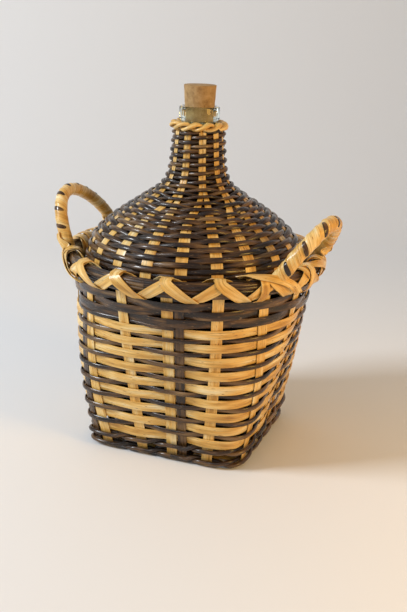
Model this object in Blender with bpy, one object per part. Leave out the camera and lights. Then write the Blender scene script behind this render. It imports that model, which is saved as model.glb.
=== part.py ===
# Wicker demijohn: a glass bottle with a woven cover on its shoulder and neck,
# standing in a woven basket with two handles, closed by a cork.
# Metres, +Z up. The origin is the middle of the underside; -Y is the front and
# the handles are at -X and +X. An angle round the object starts at the front
# (-Y) and grows toward +X.

from math import cos, pi, radians, sin

import bmesh
import bpy
from mathutils import Vector

# Clearances
GAP = 0.0003
ROW_GAP = 0.0006
EDGE_MARGIN = 0.0008

# Glass bottle
BOTTLE_BODY_RADIUS = 0.1190
BOTTLE_HEEL_RADIUS = 0.0825
BOTTLE_SHOULDER_HEIGHT = 0.2080
BOTTLE_NECK_FOOT_HEIGHT = 0.3200
BOTTLE_NECK_FOOT_RADIUS = 0.0252
BOTTLE_NECK_RADIUS = 0.0208
BOTTLE_NECK_LENGTH = 0.0655
BOTTLE_HEIGHT = BOTTLE_NECK_FOOT_HEIGHT + BOTTLE_NECK_LENGTH
BOTTLE_PUNT = 0.0140
BOTTLE_STANDING_RADIUS = 0.0595
PUNT_MIDDLE_OUT = 0.5
PUNT_MIDDLE_UP = 0.6
NECK_SEAM_RISE = 0.71
NECK_FLARE = 0.0012
GLASS_WALL = 0.0036
LIP_RADIUS = 0.0225
LIP_HEIGHT = 0.0145
LIP_ROUNDING = 0.0018

# Cork
CORK_TOP_RADIUS = 0.0182
CORK_BOTTOM_RADIUS = 0.0155
CORK_LENGTH = 0.0395
CORK_DEPTH = 0.0165
CORK_CHAMFER = 0.0008
CORK_CLEARANCE = 0.0003

# Basket
BASE_CLEARANCE = 0.0070
RIM_CLEARANCE = 0.0195
RIM_ABOVE_SHOULDER = 0.0065
BASE_HALF = BOTTLE_HEEL_RADIUS + BASE_CLEARANCE
RIM_RADIUS = BOTTLE_BODY_RADIUS + RIM_CLEARANCE
RIM_MIDDLE = BOTTLE_SHOULDER_HEIGHT + RIM_ABOVE_SHOULDER
SQUARENESS = 8.0
UPRIGHT_COUNT = 16
UPRIGHT_PHASE = radians(9.0)
SPLINT_WIDTH = 0.0125
DARK_SPLINT_WIDTH = 0.0110
SPLINT_THICK = 0.0012
RUNNER_WIDTH = 0.0116
RUNNER_INSET = 0.0065
WALL_FOOT = 0.0046
FOOT_BEND = 0.0037
WALL_STEPS = 5
FOOT_ROD_MIDDLE = 0.0066
LIGHT_BAND_HEIGHT = 0.0094
LIGHT_BAND_THICK = 0.0012
DARK_ROD_HEIGHT = 0.0050
DARK_ROD_THICK = 0.0028
WEAVE_START = 0.0210
WEAVE_START_UPRIGHT = 8
ROW_PITCH_LOW = 0.0184
ROW_PITCH_EASE = 0.00018
DARK_ZONE = 0.0420
WEAVE_TOP = RIM_MIDDLE - DARK_ZONE
TOP_BAND_COUNT = 3
TOP_BAND_THICK = 0.0018
WEAVE_SLACK = 0.0005
FOOT_ROD_RADIUS = 0.0021
HOOP_THICK = 0.0050
HOOP_HALF_HEIGHT = 0.0088
SPLINT_END_SHARE = 0.6
LASHING_WIDTH = 0.0095
LASHING_THICK = 0.0010
LASHING_CLEAR = 0.0018

# Woven cover
COVER_STAKE_COUNT = 20
COVER_PHASE = radians(14.0)
NECK_SHOWN = 0.0140
STAKE_WIDTH_LOW = 0.0132
STAKE_WIDTH_NECK = 0.0044
STAKE_TAPER_START = 0.22
STAKE_TAPER_SHARE = 0.49
STAKE_TAPER_BEND = 1.6
STAKE_THICK = 0.0009
COVER_ROD_HEIGHT = 0.0056
COVER_ROW_GAP = 0.0014
COVER_SPARE_ROWS = 2.8
FIRST_ROW = 0.6
COVER_ROD_THICK = 0.0024
BEND_REACH = 0.0090
PAIR_START = 0.536
PAIR_WOVEN = 0.589
PAIR_CLOSED = 0.786
PAIR_DRIFT = radians(7.0)
COLLAR_STRAND = 0.0017
COLLAR_TWISTS = 6

# Handles
HANDLE_CORE_RADIUS = 0.0054
HANDLE_RISE_LEFT = 0.0640
HANDLE_RISE_RIGHT = 0.0595
HANDLE_LEAN_LEFT = radians(20.5)
HANDLE_LEAN_RIGHT = radians(35.0)
HANDLE_LEFT_FEET = radians(-112.8), radians(-65.3)
HANDLE_RIGHT_FEET = radians(59.8), radians(109.4)
HANDLE_SKEW_LEFT = 0.33
HANDLE_SKEW_RIGHT = -0.45
HANDLE_FLARE = 0.0040
HANDLE_FOOT_DEPTH = 0.0060
HANDLE_FOOT_HALF_WIDTH = 0.0049
HANDLE_FOOT_RISE = 0.0060
WRAP_THICK = 0.0010
WRAP_PITCH = 0.0190
WRAP_LIGHT_WIDTH = 0.0086
WRAP_DARK_WIDTH = 0.0026

# Colours: base colour and roughness
LIGHT_CANE = (0.72, 0.40, 0.10, 1.0), 0.45
DARK_CANE = (0.045, 0.024, 0.018, 1.0), 0.40
CORK_TAN = (0.42, 0.24, 0.10, 1.0), 0.85
GREEN_GLASS = (0.62, 0.78, 0.70, 1.0), 0.05

UP = Vector((0.0, 0.0, 1.0))

for old in list(bpy.data.objects):
    bpy.data.objects.remove(old)


# Helpers for meshes and objects

def make_material(name, look):
    colour, roughness = look
    material = bpy.data.materials.new(name)
    material.use_nodes = True
    shader = material.node_tree.nodes["Principled BSDF"]
    shader.inputs["Base Color"].default_value = colour
    shader.inputs["Roughness"].default_value = roughness
    shader.inputs["Metallic"].default_value = 0.0
    return material


def add_object(name, mesh_data, look, smooth_angle=radians(35.0)):
    mesh = bpy.data.meshes.new(name)
    bmesh.ops.recalc_face_normals(mesh_data, faces=mesh_data.faces)
    mesh_data.to_mesh(mesh)
    mesh_data.free()
    mesh.shade_smooth()
    mesh.set_sharp_from_angle(angle=smooth_angle)
    mesh.materials.append(make_material(name + "_finish", look))
    thing = bpy.data.objects.new(name, mesh)
    bpy.context.scene.collection.objects.link(thing)
    return thing


def skin_rings(mesh_data, rings, closed, twist=None):
    # joins equal rings of points into one closed tube, with flat ends unless it is a loop;
    # twist says for each face of a strongly twisted tube which way it is split in two
    rows = [[mesh_data.verts.new(p) for p in ring] for ring in rings]
    count = len(rows[0])
    pairs = list(zip(rows, rows[1:]))
    if closed:
        pairs.append((rows[-1], rows[0]))
    for low, high in pairs:
        for i in range(count):
            j = (i + 1) % count
            if twist is None:
                mesh_data.faces.new((low[i], low[j], high[j], high[i]))
            elif twist[i]:
                mesh_data.faces.new((low[i], low[j], high[j]))
                mesh_data.faces.new((low[i], high[j], high[i]))
            else:
                mesh_data.faces.new((low[i], low[j], high[i]))
                mesh_data.faces.new((low[j], high[j], high[i]))
    if not closed:
        mesh_data.faces.new(rows[0])
        mesh_data.faces.new(rows[-1])


def sweep(name, path, sides, section, look, closed=False, twisted=False):
    # path: points; sides: the direction of the section's width at each point;
    # section: (across, out) offsets, or a function of the point's number.
    # The offset across a bend is stretched so that the thickness stays true.
    # A twisted strip bulges outward between its rings on both of its faces.
    count = len(path)
    rings = []
    for i, point in enumerate(path):
        ahead = path[(i + 1) % count] - point if closed or i < count - 1 else point - path[i - 1]
        behind = point - path[i - 1] if closed or i > 0 else ahead
        side = sides[i].normalized()
        out_ahead = ahead.cross(side).normalized()
        out_behind = behind.cross(side).normalized()
        out = (out_ahead + out_behind).normalized()
        out /= max(out.dot(out_ahead), 0.5)
        offsets = section(i) if callable(section) else section
        rings.append([point + side * a + out * b for a, b in offsets])
    twist = None
    if twisted:
        across = [a for a, b in section]
        twist = [a < b for a, b in zip(across, across[1:] + across[:1])]
    mesh_data = bmesh.new()
    skin_rings(mesh_data, rings, closed, twist)
    return add_object(name, mesh_data, look)


def flat_section(width, thick):
    w, t = width / 2, thick / 2
    return [(-w, -t), (w, -t), (w, t), (-w, t)]


def rod_section(height, thick):
    # a split rod: flat inside, ridged outside
    h, t = height / 2, thick / 2
    return [(-h, -t), (h, -t), (0.0, t)]


def round_section(radius, count):
    turns = [2 * pi * i / count for i in range(count)]
    return [(radius * cos(t), radius * sin(t)) for t in turns]


def lathe(name, profile, segments, look):
    # turns (radius, height) points about Z; a point on the axis becomes a pole,
    # and an outline that stays off the axis is closed into a ring
    mesh_data = bmesh.new()
    rows = []
    for radius, height in profile:
        turns = 1 if radius == 0 else segments
        row = []
        for i in range(turns):
            angle = 2 * pi * i / segments
            row.append(mesh_data.verts.new((radius * cos(angle), radius * sin(angle), height)))
        rows.append(row)
    pairs = list(zip(rows, rows[1:]))
    if profile[0][0] > 0:
        pairs.append((rows[-1], rows[0]))
    for low, high in pairs:
        for i in range(segments):
            j = (i + 1) % segments
            corners = [low[i % len(low)], low[j % len(low)], high[j % len(high)], high[i % len(high)]]
            unique = list(dict.fromkeys(corners))
            mesh_data.faces.new(unique)
    return add_object(name, mesh_data, look)


def offset_profile(points, distance):
    # a parallel of an open (radius, height) outline, to its outer side when it runs upward
    result = []
    for i, point in enumerate(points):
        ahead = (points[min(i + 1, len(points) - 1)] - points[min(i, len(points) - 2)]).normalized()
        behind = (points[max(i, 1)] - points[max(i - 1, 0)]).normalized()
        middle = (ahead + behind).normalized()
        result.append(point + Vector((middle.y, -middle.x)) * distance / middle.dot(ahead))
    return result


# Bottle and cork

BOTTLE_SEGMENTS = 16
BOTTLE_FOOT = 2 * SPLINT_THICK + 2 * GAP
LIP_FOOT = BOTTLE_HEIGHT - LIP_HEIGHT
COVER_END = LIP_FOOT - NECK_SHOWN

# Shape of the body and of the shoulder: shares of the way out and of the way up
BODY_SHAPE = ((0.0, 0.05), (0.31, 0.24), (0.64, 0.50), (0.91, 0.76))
SHOULDER_SHAPE = ((0.98, 0.14), (0.915, 0.26), (0.81, 0.35), (0.63, 0.475), (0.21, 0.71),
                  (0.115, 0.78), (0.05, 0.86), (0.0, 1.0))


def bottle_outline():
    # the outer wall as (radius, height), from the heel up to the foot of the lip
    heel_rise = BOTTLE_SHOULDER_HEIGHT - BOTTLE_FOOT
    neck_rise = BOTTLE_NECK_FOOT_HEIGHT - BOTTLE_SHOULDER_HEIGHT
    points = [(BOTTLE_HEEL_RADIUS + out * (BOTTLE_BODY_RADIUS - BOTTLE_HEEL_RADIUS),
               BOTTLE_FOOT + up * heel_rise) for out, up in BODY_SHAPE]
    points.append((BOTTLE_BODY_RADIUS, BOTTLE_SHOULDER_HEIGHT))
    points += [(BOTTLE_NECK_FOOT_RADIUS + out * (BOTTLE_BODY_RADIUS - BOTTLE_NECK_FOOT_RADIUS),
                BOTTLE_SHOULDER_HEIGHT + up * neck_rise) for out, up in SHOULDER_SHAPE]
    points += [(BOTTLE_NECK_RADIUS + NECK_FLARE, COVER_END),
               (BOTTLE_NECK_RADIUS, LIP_FOOT - LIP_ROUNDING)]
    return [Vector(p) for p in points]


def point_at(line, height):
    # the point of an upward outline at a height
    low, high = next(pair for pair in zip(line, line[1:]) if pair[0].y <= height <= pair[1].y)
    return low.lerp(high, (height - low.y) / (high.y - low.y))


def stretch(line, bottom, top):
    # the part of an upward outline between two heights
    return [point_at(line, bottom)] + [p for p in line if bottom < p.y < top] + [point_at(line, top)]


def make_bottle():
    # the glass is built as three rings that meet at seams which the cane hides,
    # so that each keeps its hollow open
    outer = bottle_outline()
    inner = offset_profile(outer, -GLASS_WALL)
    bore = CORK_BOTTOM_RADIUS + CORK_CLEARANCE
    mouth = bore + (CORK_TOP_RADIUS - CORK_BOTTOM_RADIUS) * CORK_DEPTH / CORK_LENGTH
    standing = BOTTLE_STANDING_RADIUS
    # the wide part of the inner wall needs only every second point
    inside = [p for i, p in enumerate(inner[:-2])
              if p.x > bore and (i % 2 == 0 or p.x < 2 * BOTTLE_NECK_RADIUS)]
    low_seam = BOTTLE_SHOULDER_HEIGHT
    high_seam = low_seam + NECK_SEAM_RISE * (BOTTLE_NECK_FOOT_HEIGHT - BOTTLE_SHOULDER_HEIGHT)
    punt_middle = (PUNT_MIDDLE_OUT * standing, BOTTLE_FOOT + PUNT_MIDDLE_UP * BOTTLE_PUNT)
    body = [(0.0, BOTTLE_FOOT + BOTTLE_PUNT), punt_middle, (standing, BOTTLE_FOOT)]
    body += stretch(outer, outer[0].y, low_seam)
    body += reversed(stretch(inside, inside[0].y, low_seam))
    body += [(standing, BOTTLE_FOOT + GLASS_WALL), (punt_middle[0], punt_middle[1] + GLASS_WALL),
             (0.0, BOTTLE_FOOT + BOTTLE_PUNT + GLASS_WALL)]
    lathe("glass_body", body, BOTTLE_SEGMENTS, GREEN_GLASS)
    shoulder = stretch(outer, low_seam + GAP, high_seam)
    shoulder += reversed(stretch(inside, low_seam + GAP, high_seam))
    lathe("glass_shoulder", shoulder, BOTTLE_SEGMENTS, GREEN_GLASS)
    neck = stretch(outer, high_seam + GAP, outer[-1].y)
    neck += [(LIP_RADIUS - LIP_ROUNDING / 2, LIP_FOOT), (LIP_RADIUS, LIP_FOOT + LIP_ROUNDING),
             (LIP_RADIUS, BOTTLE_HEIGHT - 2 * LIP_ROUNDING), (LIP_RADIUS - LIP_ROUNDING, BOTTLE_HEIGHT),
             (mouth, BOTTLE_HEIGHT), (bore, BOTTLE_HEIGHT - CORK_DEPTH)]
    neck += reversed(stretch(inside, high_seam + GAP, inside[-1].y))
    lathe("glass_neck", neck, BOTTLE_SEGMENTS, GREEN_GLASS)


def make_cork():
    bottom = BOTTLE_HEIGHT - CORK_DEPTH
    top = bottom + CORK_LENGTH
    profile = [(0.0, bottom), (CORK_BOTTOM_RADIUS, bottom), (CORK_TOP_RADIUS, top - CORK_CHAMFER),
               (CORK_TOP_RADIUS - CORK_CHAMFER, top), (0.0, top)]
    return lathe("cork", profile, BOTTLE_SEGMENTS, CORK_TAN)


# Steps by which a surface's directions are measured
SMALL_TURN = radians(0.1)
SMALL_RISE = 0.0020

# Surfaces that the weave follows: each returns a point on the middle of the
# uprights, the direction out, and the direction up the surface. Both are
# straight between the levels where the uprights bend.

SPLINT_TOP = RIM_MIDDLE + SPLINT_END_SHARE * HOOP_HALF_HEIGHT
WALL_LEVELS = [WALL_FOOT + (SPLINT_TOP - WALL_FOOT) * k / WALL_STEPS for k in range(WALL_STEPS + 1)]


def wall_outline(height, angle):
    # square at the base, round at the rim
    share = min(max(height / RIM_MIDDLE, 0.0), 1.0)
    half = BASE_HALF + (RIM_RADIUS - BASE_HALF) * height / RIM_MIDDLE
    power = 2.0 + SQUARENESS * (1.0 - share) ** 2
    radius = half / (abs(cos(angle)) ** power + abs(sin(angle)) ** power) ** (1.0 / power)
    return Vector((radius * sin(angle), -radius * cos(angle), height))


def basket_surface(height, angle):
    level = sum(1 for z in WALL_LEVELS[1:-1] if z <= height)
    low, high = WALL_LEVELS[level], WALL_LEVELS[level + 1]

    def place(z, a):
        return wall_outline(low, a).lerp(wall_outline(high, a), (z - low) / (high - low))

    around = place(height, angle + SMALL_TURN) - place(height, angle - SMALL_TURN)
    upward = (place(height + SMALL_RISE, angle) - place(height - SMALL_RISE, angle)).normalized()
    out = around.cross(upward).normalized()
    return place(height, angle), out, upward


def cover_profile():
    # the middle of the cover's stakes: the bottle's own outline, held off the glass
    stand_off = STAKE_THICK / 2 + COVER_ROD_THICK + WEAVE_SLACK + 4 * GAP
    return offset_profile(bottle_outline(), stand_off)[len(BODY_SHAPE):-1]


COVER_POINTS = cover_profile()
COVER_STEPS = [0.0]
for below, above in zip(COVER_POINTS, COVER_POINTS[1:]):
    COVER_STEPS.append(COVER_STEPS[-1] + (above - below).length)
COVER_LENGTH = COVER_STEPS[-1]


def cover_at(distance):
    # the (radius, height) point of the cover at a distance up its slope
    reach = min(max(distance, 0.0), COVER_LENGTH)
    i = max(k for k in range(len(COVER_STEPS) - 1) if COVER_STEPS[k] <= reach)
    share = (distance - COVER_STEPS[i]) / (COVER_STEPS[i + 1] - COVER_STEPS[i])
    return COVER_POINTS[i].lerp(COVER_POINTS[i + 1], share)


def cover_surface(distance, angle):
    point = cover_at(distance)
    slope = (cover_at(distance + BEND_REACH) - cover_at(distance - BEND_REACH)).normalized()
    around = Vector((sin(angle), -cos(angle), 0.0))
    out = around * slope.y - UP * slope.x
    upward = around * slope.x + UP * slope.y
    return around * point.x + UP * point.y, out, upward


# How far the two crossing strands of the lashing stand off the rim's hoops
LASHING_STEP = LASHING_THICK + 3 * GAP
LASHING_REACH = LASHING_CLEAR + LASHING_STEP + LASHING_THICK


# Weaving

def weave_path(surface, crossings, lift, closed=False):
    # crossings: (row, angle, half width, outside) for each upright in turn.
    # Outside an upright the weaver lies flat between its two edges. Inside it
    # takes one point, two where one would let it rub the edges, or none where
    # it runs clear by itself. Returns the points and the directions up the wall.
    spots = []
    for row, angle, half, outside in crossings:
        middle, out, upward = surface(row, angle)
        reach = upward.cross(out) * half
        spots.append((middle, out, upward, reach, half, outside))
    path = []
    sides = []
    last = len(spots) - 1
    for i, (middle, out, upward, reach, half, outside) in enumerate(spots):
        inner = middle - out * lift
        if outside:
            points = [middle - reach + out * lift, middle + reach + out * lift]
        else:
            ends = [inner - reach, inner + reach]
            alone = True
            for k, sign in ((0, -1), (1, 1)):
                if closed or 0 <= i + sign <= last:
                    other = spots[(i + sign) % len(spots)]
                    side = 1 if other[5] else -1
                    alone = alone and other[5]
                    ends[k] = other[0] - other[3] * sign + other[1] * lift * side
            rise = max((p - inner).dot(out) / (p - inner).length for p in ends)
            chord = (ends[0] + ends[1]) / 2 - inner
            points = [inner]
            if rise * half > GAP:
                points = [inner - reach, inner + reach]
            elif alone and chord.dot(out) < 0.0 and chord.length < lift:
                points = []
        path += points
        sides += [upward] * len(points)
    return path, sides


def upright_angle(number):
    return UPRIGHT_PHASE + number * 2 * pi / UPRIGHT_COUNT


# A dark splint lies beside two of the light ones, on the side given here
PARTNER_SIDE = {0: 1, 7: -1, 14: -1, 9: 1}
PARTNER_STEP = (SPLINT_WIDTH + DARK_SPLINT_WIDTH) / 2 + ROW_GAP


def upright_strips(number, height):
    # the angle and half width of each strip of an upright, in turn round the wall
    side = PARTNER_SIDE.get(number % UPRIGHT_COUNT, 0)
    centre = upright_angle(number)
    radius = basket_surface(height, centre)[0].xy.length
    if side == 0:
        return [(centre, SPLINT_WIDTH / 2 + EDGE_MARGIN)]
    strips = [(centre - side * EDGE_MARGIN / 2 / radius, (SPLINT_WIDTH + EDGE_MARGIN) / 2),
              (centre + side * (PARTNER_STEP + EDGE_MARGIN / 2) / radius,
               (DARK_SPLINT_WIDTH + EDGE_MARGIN) / 2)]
    return strips[::side]


def row_height(turns):
    # the rows of the spiral lie closer together toward the rim
    return WEAVE_START + ROW_PITCH_LOW * turns - ROW_PITCH_EASE * turns ** 2


def basket_weaver(name, offset, parity, section, height, thick, look):
    # a spiral weaver from the back up to the dark bands, outside the uprights whose
    # number has the given parity; a second strand takes over end to end halfway up,
    # as cane isn't long enough
    crossings = []
    number = WEAVE_START_UPRIGHT
    row = row_height(offset)
    while row + height / 2 + ROW_GAP < WEAVE_TOP:
        crossings += [(row, angle, half, number % 2 == parity)
                      for angle, half in upright_strips(number, row)]
        number += 1
        row = row_height(offset + (number - WEAVE_START_UPRIGHT) / UPRIGHT_COUNT)
    lift = SPLINT_THICK / 2 + thick / 2 + GAP + WEAVE_SLACK
    path, sides = weave_path(basket_surface, crossings, lift)
    middle = len(path) // 2
    start_again = path[middle] + (path[middle + 1] - path[middle]).normalized() * 2 * GAP
    sweep(name + "_1", path[:middle + 1], sides[:middle + 1], section, look)
    sweep(name + "_2", [start_again] + path[middle + 1:], sides[middle:], section, look)


def basket_ring(name, row, parity, section, thick, look):
    # one closed round of the weave
    crossings = []
    for number in range(UPRIGHT_COUNT):
        crossings += [(row, angle, half, number % 2 == parity)
                      for angle, half in upright_strips(number, row)]
    lift = SPLINT_THICK / 2 + thick / 2 + GAP + WEAVE_SLACK
    path, sides = weave_path(basket_surface, crossings, lift, closed=True)
    return sweep(name, path, sides, section, look, closed=True)


def make_basket_weave():
    basket_weaver("light_weaver", 0.0, 1, flat_section(LIGHT_BAND_HEIGHT, LIGHT_BAND_THICK),
                  LIGHT_BAND_HEIGHT, LIGHT_BAND_THICK, LIGHT_CANE)
    basket_weaver("dark_weaver", 0.5, 0, rod_section(DARK_ROD_HEIGHT, DARK_ROD_THICK),
                  DARK_ROD_HEIGHT, DARK_ROD_THICK, DARK_CANE)
    top = RIM_MIDDLE - HOOP_HALF_HEIGHT - LASHING_REACH - ROW_GAP
    band_pitch = (top - WEAVE_TOP) / TOP_BAND_COUNT
    for i in range(TOP_BAND_COUNT):
        basket_ring("dark_top_band_" + str(i + 1), WEAVE_TOP + band_pitch * (i + 0.5), i % 2,
                    flat_section(band_pitch - ROW_GAP, TOP_BAND_THICK), TOP_BAND_THICK, DARK_CANE)


# Splints that cross the base and stand up on both sides of the basket

BOTTOM_LEVEL = SPLINT_THICK / 2
TOP_LEVEL = BOTTOM_LEVEL + SPLINT_THICK + GAP


def upright_point(angle, shift, height):
    # a point on the wall, shifted along it, and the direction across the splint there
    radius = basket_surface(height, angle)[0].xy.length
    turned = angle + shift / radius
    point, out, upward = basket_surface(height, turned)
    return point, upward.cross(out)


def base_line(ends, shift):
    # the foot points of a splint's two walls
    points = []
    for number, sign in zip(ends, (1, -1)):
        points.append(upright_point(upright_angle(number), shift * sign, WALL_FOOT)[0].xy)
    return points


def crossing_place(line, other):
    # how far along a base line another one crosses it
    (a, b), (c, d) = line, other
    run = b - a
    cut = d - c
    share = ((c.x - a.x) * cut.y - (c.y - a.y) * cut.x) / (run.x * cut.y - run.y * cut.x)
    return share * run.length


def make_splint(name, ends, shift, width, stations, look):
    # stations: (place, half width, raised) of what the splint meets on the base, in turn
    walls = []
    for number, sign in zip(ends, (1, -1)):
        wall = []
        for height in WALL_LEVELS:
            point, across = upright_point(upright_angle(number), shift * sign, height)
            wall.append((point, across * sign))
        walls.append(wall)
    start, finish = base_line(ends, shift)
    along = (finish - start).normalized().to_3d()
    across = along.cross(UP)
    length = (finish - start).length
    levels = [(FOOT_BEND, stations[0][2])]
    for place, half, raised in stations:
        if raised == levels[-1][1] and len(levels) > 2:
            levels[-1] = (place + half, raised)
        else:
            levels += [(place - half, raised), (place + half, raised)]
    levels.append((length - FOOT_BEND, stations[-1][2]))
    base = []
    for place, raised in levels:
        height = TOP_LEVEL if raised else BOTTOM_LEVEL
        base.append((start.to_3d() + UP * height + along * place, across))
    route = list(reversed(walls[0])) + base + walls[1]
    return sweep(name, [r[0] for r in route], [r[1] for r in route],
                 flat_section(width, SPLINT_THICK), look)


# Ends of the light splints: front to back, from -X to +X, then right to left,
# from front to back
LONG_ENDS = [(14, 9), (15, 8), (0, 7), (1, 6)]
CROSS_ENDS = [(2, 13), (3, 12), (4, 11), (5, 10)]


def make_base_and_uprights():
    long_lines = [base_line(ends, 0.0) for ends in LONG_ENDS]
    cross_lines = [base_line(ends, 0.0) for ends in CROSS_ENDS]
    runner_reach = BASE_HALF - RUNNER_INSET
    runner_line = [Vector((-runner_reach, 0.0)), Vector((runner_reach, 0.0))]
    light_half = SPLINT_WIDTH / 2 + EDGE_MARGIN
    dark_half = DARK_SPLINT_WIDTH / 2 + EDGE_MARGIN
    partners = {}
    for i, ends in enumerate(LONG_ENDS):
        side = PARTNER_SIDE.get(ends[0], 0)
        shifts = [(0.0, SPLINT_WIDTH, "long_splint_" + str(i + 1), LIGHT_CANE)]
        if side:
            partners[i] = base_line(ends, side * PARTNER_STEP)
            name = "dark_splint_" + str(len(partners))
            shifts.append((side * PARTNER_STEP, DARK_SPLINT_WIDTH, name, DARK_CANE))
        for shift, width, name, look in shifts:
            line = base_line(ends, shift)
            stations = [(crossing_place(line, other), light_half, (i + j) % 2 == 0)
                        for j, other in enumerate(cross_lines)]
            stations.append((crossing_place(line, runner_line), RUNNER_WIDTH / 2 + EDGE_MARGIN, True))
            make_splint(name, ends, shift, width, sorted(stations), look)
    for j, ends in enumerate(CROSS_ENDS):
        line = cross_lines[j]
        stations = []
        for i, other in enumerate(long_lines):
            stations.append((crossing_place(line, other), light_half, (i + j) % 2 == 1))
            if i in partners:
                stations.append((crossing_place(line, partners[i]), dark_half, (i + j) % 2 == 1))
        make_splint("cross_splint_" + str(j + 1), ends, 0.0, SPLINT_WIDTH, sorted(stations),
                    LIGHT_CANE)
    runner = [end.to_3d() + UP * BOTTOM_LEVEL for end in runner_line]
    sweep("base_runner", runner, [Vector((0.0, 1.0, 0.0))] * 2,
          flat_section(RUNNER_WIDTH, SPLINT_THICK), DARK_CANE)


FOOT_CROSS_LIFT = FOOT_ROD_RADIUS + GAP / 2


def twined_rods(first_name, levels, closed):
    # two rods twined round the uprights, crossing between them; levels gives the
    # number and the height of each upright in turn
    lift = SPLINT_THICK / 2 + FOOT_ROD_RADIUS + GAP + WEAVE_SLACK
    for rod in range(2):
        path = []
        for number, level in levels:
            outside = number % 2 == rod
            reach = lift if outside else -lift
            for angle, half in upright_strips(number, level):
                middle, out, upward = basket_surface(level, angle)
                across = upward.cross(out) * half
                path += [middle - across + out * reach, middle + across + out * reach]
            if closed or number != levels[-1][0]:
                after = upright_strips(number + 1, level)[0]
                point = basket_surface(level, (angle + after[0]) / 2)[0]
                path.append(point + UP * (FOOT_CROSS_LIFT if outside else -FOOT_CROSS_LIFT))
        sweep("foot_rod_" + str(first_name + rod), path, [UP] * len(path),
              round_section(FOOT_ROD_RADIUS, 4), DARK_CANE, closed=closed)


def make_foot_rods():
    # a closed round at the foot, and a second one that fills in below the first turn
    # of the light weaver, from where there is room for it
    twined_rods(1, [(number, FOOT_ROD_MIDDLE) for number in range(UPRIGHT_COUNT)], True)
    half_height = FOOT_ROD_RADIUS + FOOT_CROSS_LIFT
    below = LIGHT_BAND_HEIGHT / 2 + ROW_GAP + half_height
    levels = []
    for step in range(UPRIGHT_COUNT):
        level = row_height(step / UPRIGHT_COUNT) - below
        if level > FOOT_ROD_MIDDLE + 2 * half_height + ROW_GAP:
            levels.append((WEAVE_START_UPRIGHT + step, level))
    twined_rods(3, levels, False)


# Rim: two half-round hoops that pinch the uprights, lashed with cane

HOOP_STEPS = 36
HOOP_FACE = SPLINT_THICK / 2 + 3 * GAP
LASHING_ROUNDNESS = 0.85


def make_hoops():
    angles = [2 * pi * i / HOOP_STEPS for i in range(HOOP_STEPS)]
    frames = [basket_surface(RIM_MIDDLE, a) for a in angles]
    turns = [radians(-90 + 60 * i) for i in range(4)]
    for name, sign in (("rim_outer_hoop", 1), ("rim_inner_hoop", -1)):
        section = [(HOOP_HALF_HEIGHT * sin(t), sign * (HOOP_FACE + HOOP_THICK * cos(t))) for t in turns]
        sweep(name, [f[0] for f in frames], [f[2] for f in frames], section, DARK_CANE, closed=True)


def rim_spot(angle, turn, lift):
    # a point round the rim's section: turn 0 is outside, a quarter turn is on top
    middle, out, upward = basket_surface(RIM_MIDDLE, angle)
    c, s = cos(turn), sin(turn)
    across = (HOOP_FACE + HOOP_THICK + lift) * abs(c) ** LASHING_ROUNDNESS * (1 if c > 0 else -1)
    rise = (HOOP_HALF_HEIGHT + lift) * abs(s) ** LASHING_ROUNDNESS * (1 if s > 0 else -1)
    return middle + out * across + upward * rise


# How far a strand has gone from one upright to the next at each sixth of a turn:
# it crosses the top and the bottom squarely and slants down the sides
LASHING_ADVANCE = (0.0, 0.08, 0.42, 0.5, 0.58, 0.92)


def make_lashing():
    # two strands wind the rim in opposite directions and cross on top of each upright
    pitch = 2 * pi / UPRIGHT_COUNT
    steps = len(LASHING_ADVANCE)
    for strand, direction in ((1, -1), (2, 1)):
        lift = LASHING_CLEAR + LASHING_THICK / 2 + (strand - 1) * LASHING_STEP
        path = []
        sides = []
        widths = []
        for i in range(UPRIGHT_COUNT * steps):
            angle = UPRIGHT_PHASE + pitch * (i // steps + LASHING_ADVANCE[i % steps])
            turn = pi / 2 - direction * 2 * pi * (i % steps) / steps
            point = rim_spot(angle, turn, lift)
            path.append(point)
            sides.append(Vector((cos(angle), sin(angle), 0.0)))
        for i in range(len(path)):
            ahead = path[(i + 1) % len(path)] - path[i - 1]
            square = ahead - sides[i] * ahead.dot(sides[i])
            widths.append(LASHING_WIDTH * ahead.length / square.length)

        def section(i):
            return flat_section(widths[i], LASHING_THICK)

        sweep("rim_lashing_" + str(strand), path, sides, section, LIGHT_CANE, closed=True)


# Cover: stakes that run up the shoulder and neck in pairs, and two dark rods
# that chase each other round them

def shoulder_distance(rise):
    # how far up the cover a share of the way from the shoulder to the neck lies
    height = BOTTLE_SHOULDER_HEIGHT + rise * (BOTTLE_NECK_FOOT_HEIGHT - BOTTLE_SHOULDER_HEIGHT)
    for i in range(len(COVER_POINTS) - 1):
        low, high = COVER_POINTS[i].y, COVER_POINTS[i + 1].y
        if low <= height <= high:
            share = (height - low) / (high - low)
            return COVER_STEPS[i] + share * (COVER_STEPS[i + 1] - COVER_STEPS[i])
    return COVER_LENGTH


def stake_width(distance):
    # the stakes keep their width on the shoulder and narrow towards the neck
    share = (distance / COVER_LENGTH - STAKE_TAPER_START) / STAKE_TAPER_SHARE
    share = min(max(share, 0.0), 1.0) ** STAKE_TAPER_BEND
    return STAKE_WIDTH_LOW + (STAKE_WIDTH_NECK - STAKE_WIDTH_LOW) * share


def station_angle(number, distance):
    # evenly spaced low down, side by side in pairs on the neck
    pair_step = 4 * pi / COVER_STAKE_COUNT
    open_half = pair_step / 4
    closed_half = (stake_width(distance) + ROW_GAP) / 2 / cover_at(distance).x
    low, high = shoulder_distance(PAIR_START), shoulder_distance(PAIR_CLOSED)
    share = min(max((distance - low) / (high - low), 0.0), 1.0)
    share = share * share * (3 - 2 * share)
    half = open_half + (closed_half - open_half) * share
    side = 1 if number % 2 else -1
    return COVER_PHASE + open_half + number // 2 * pair_step + PAIR_DRIFT * share + side * half


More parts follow.
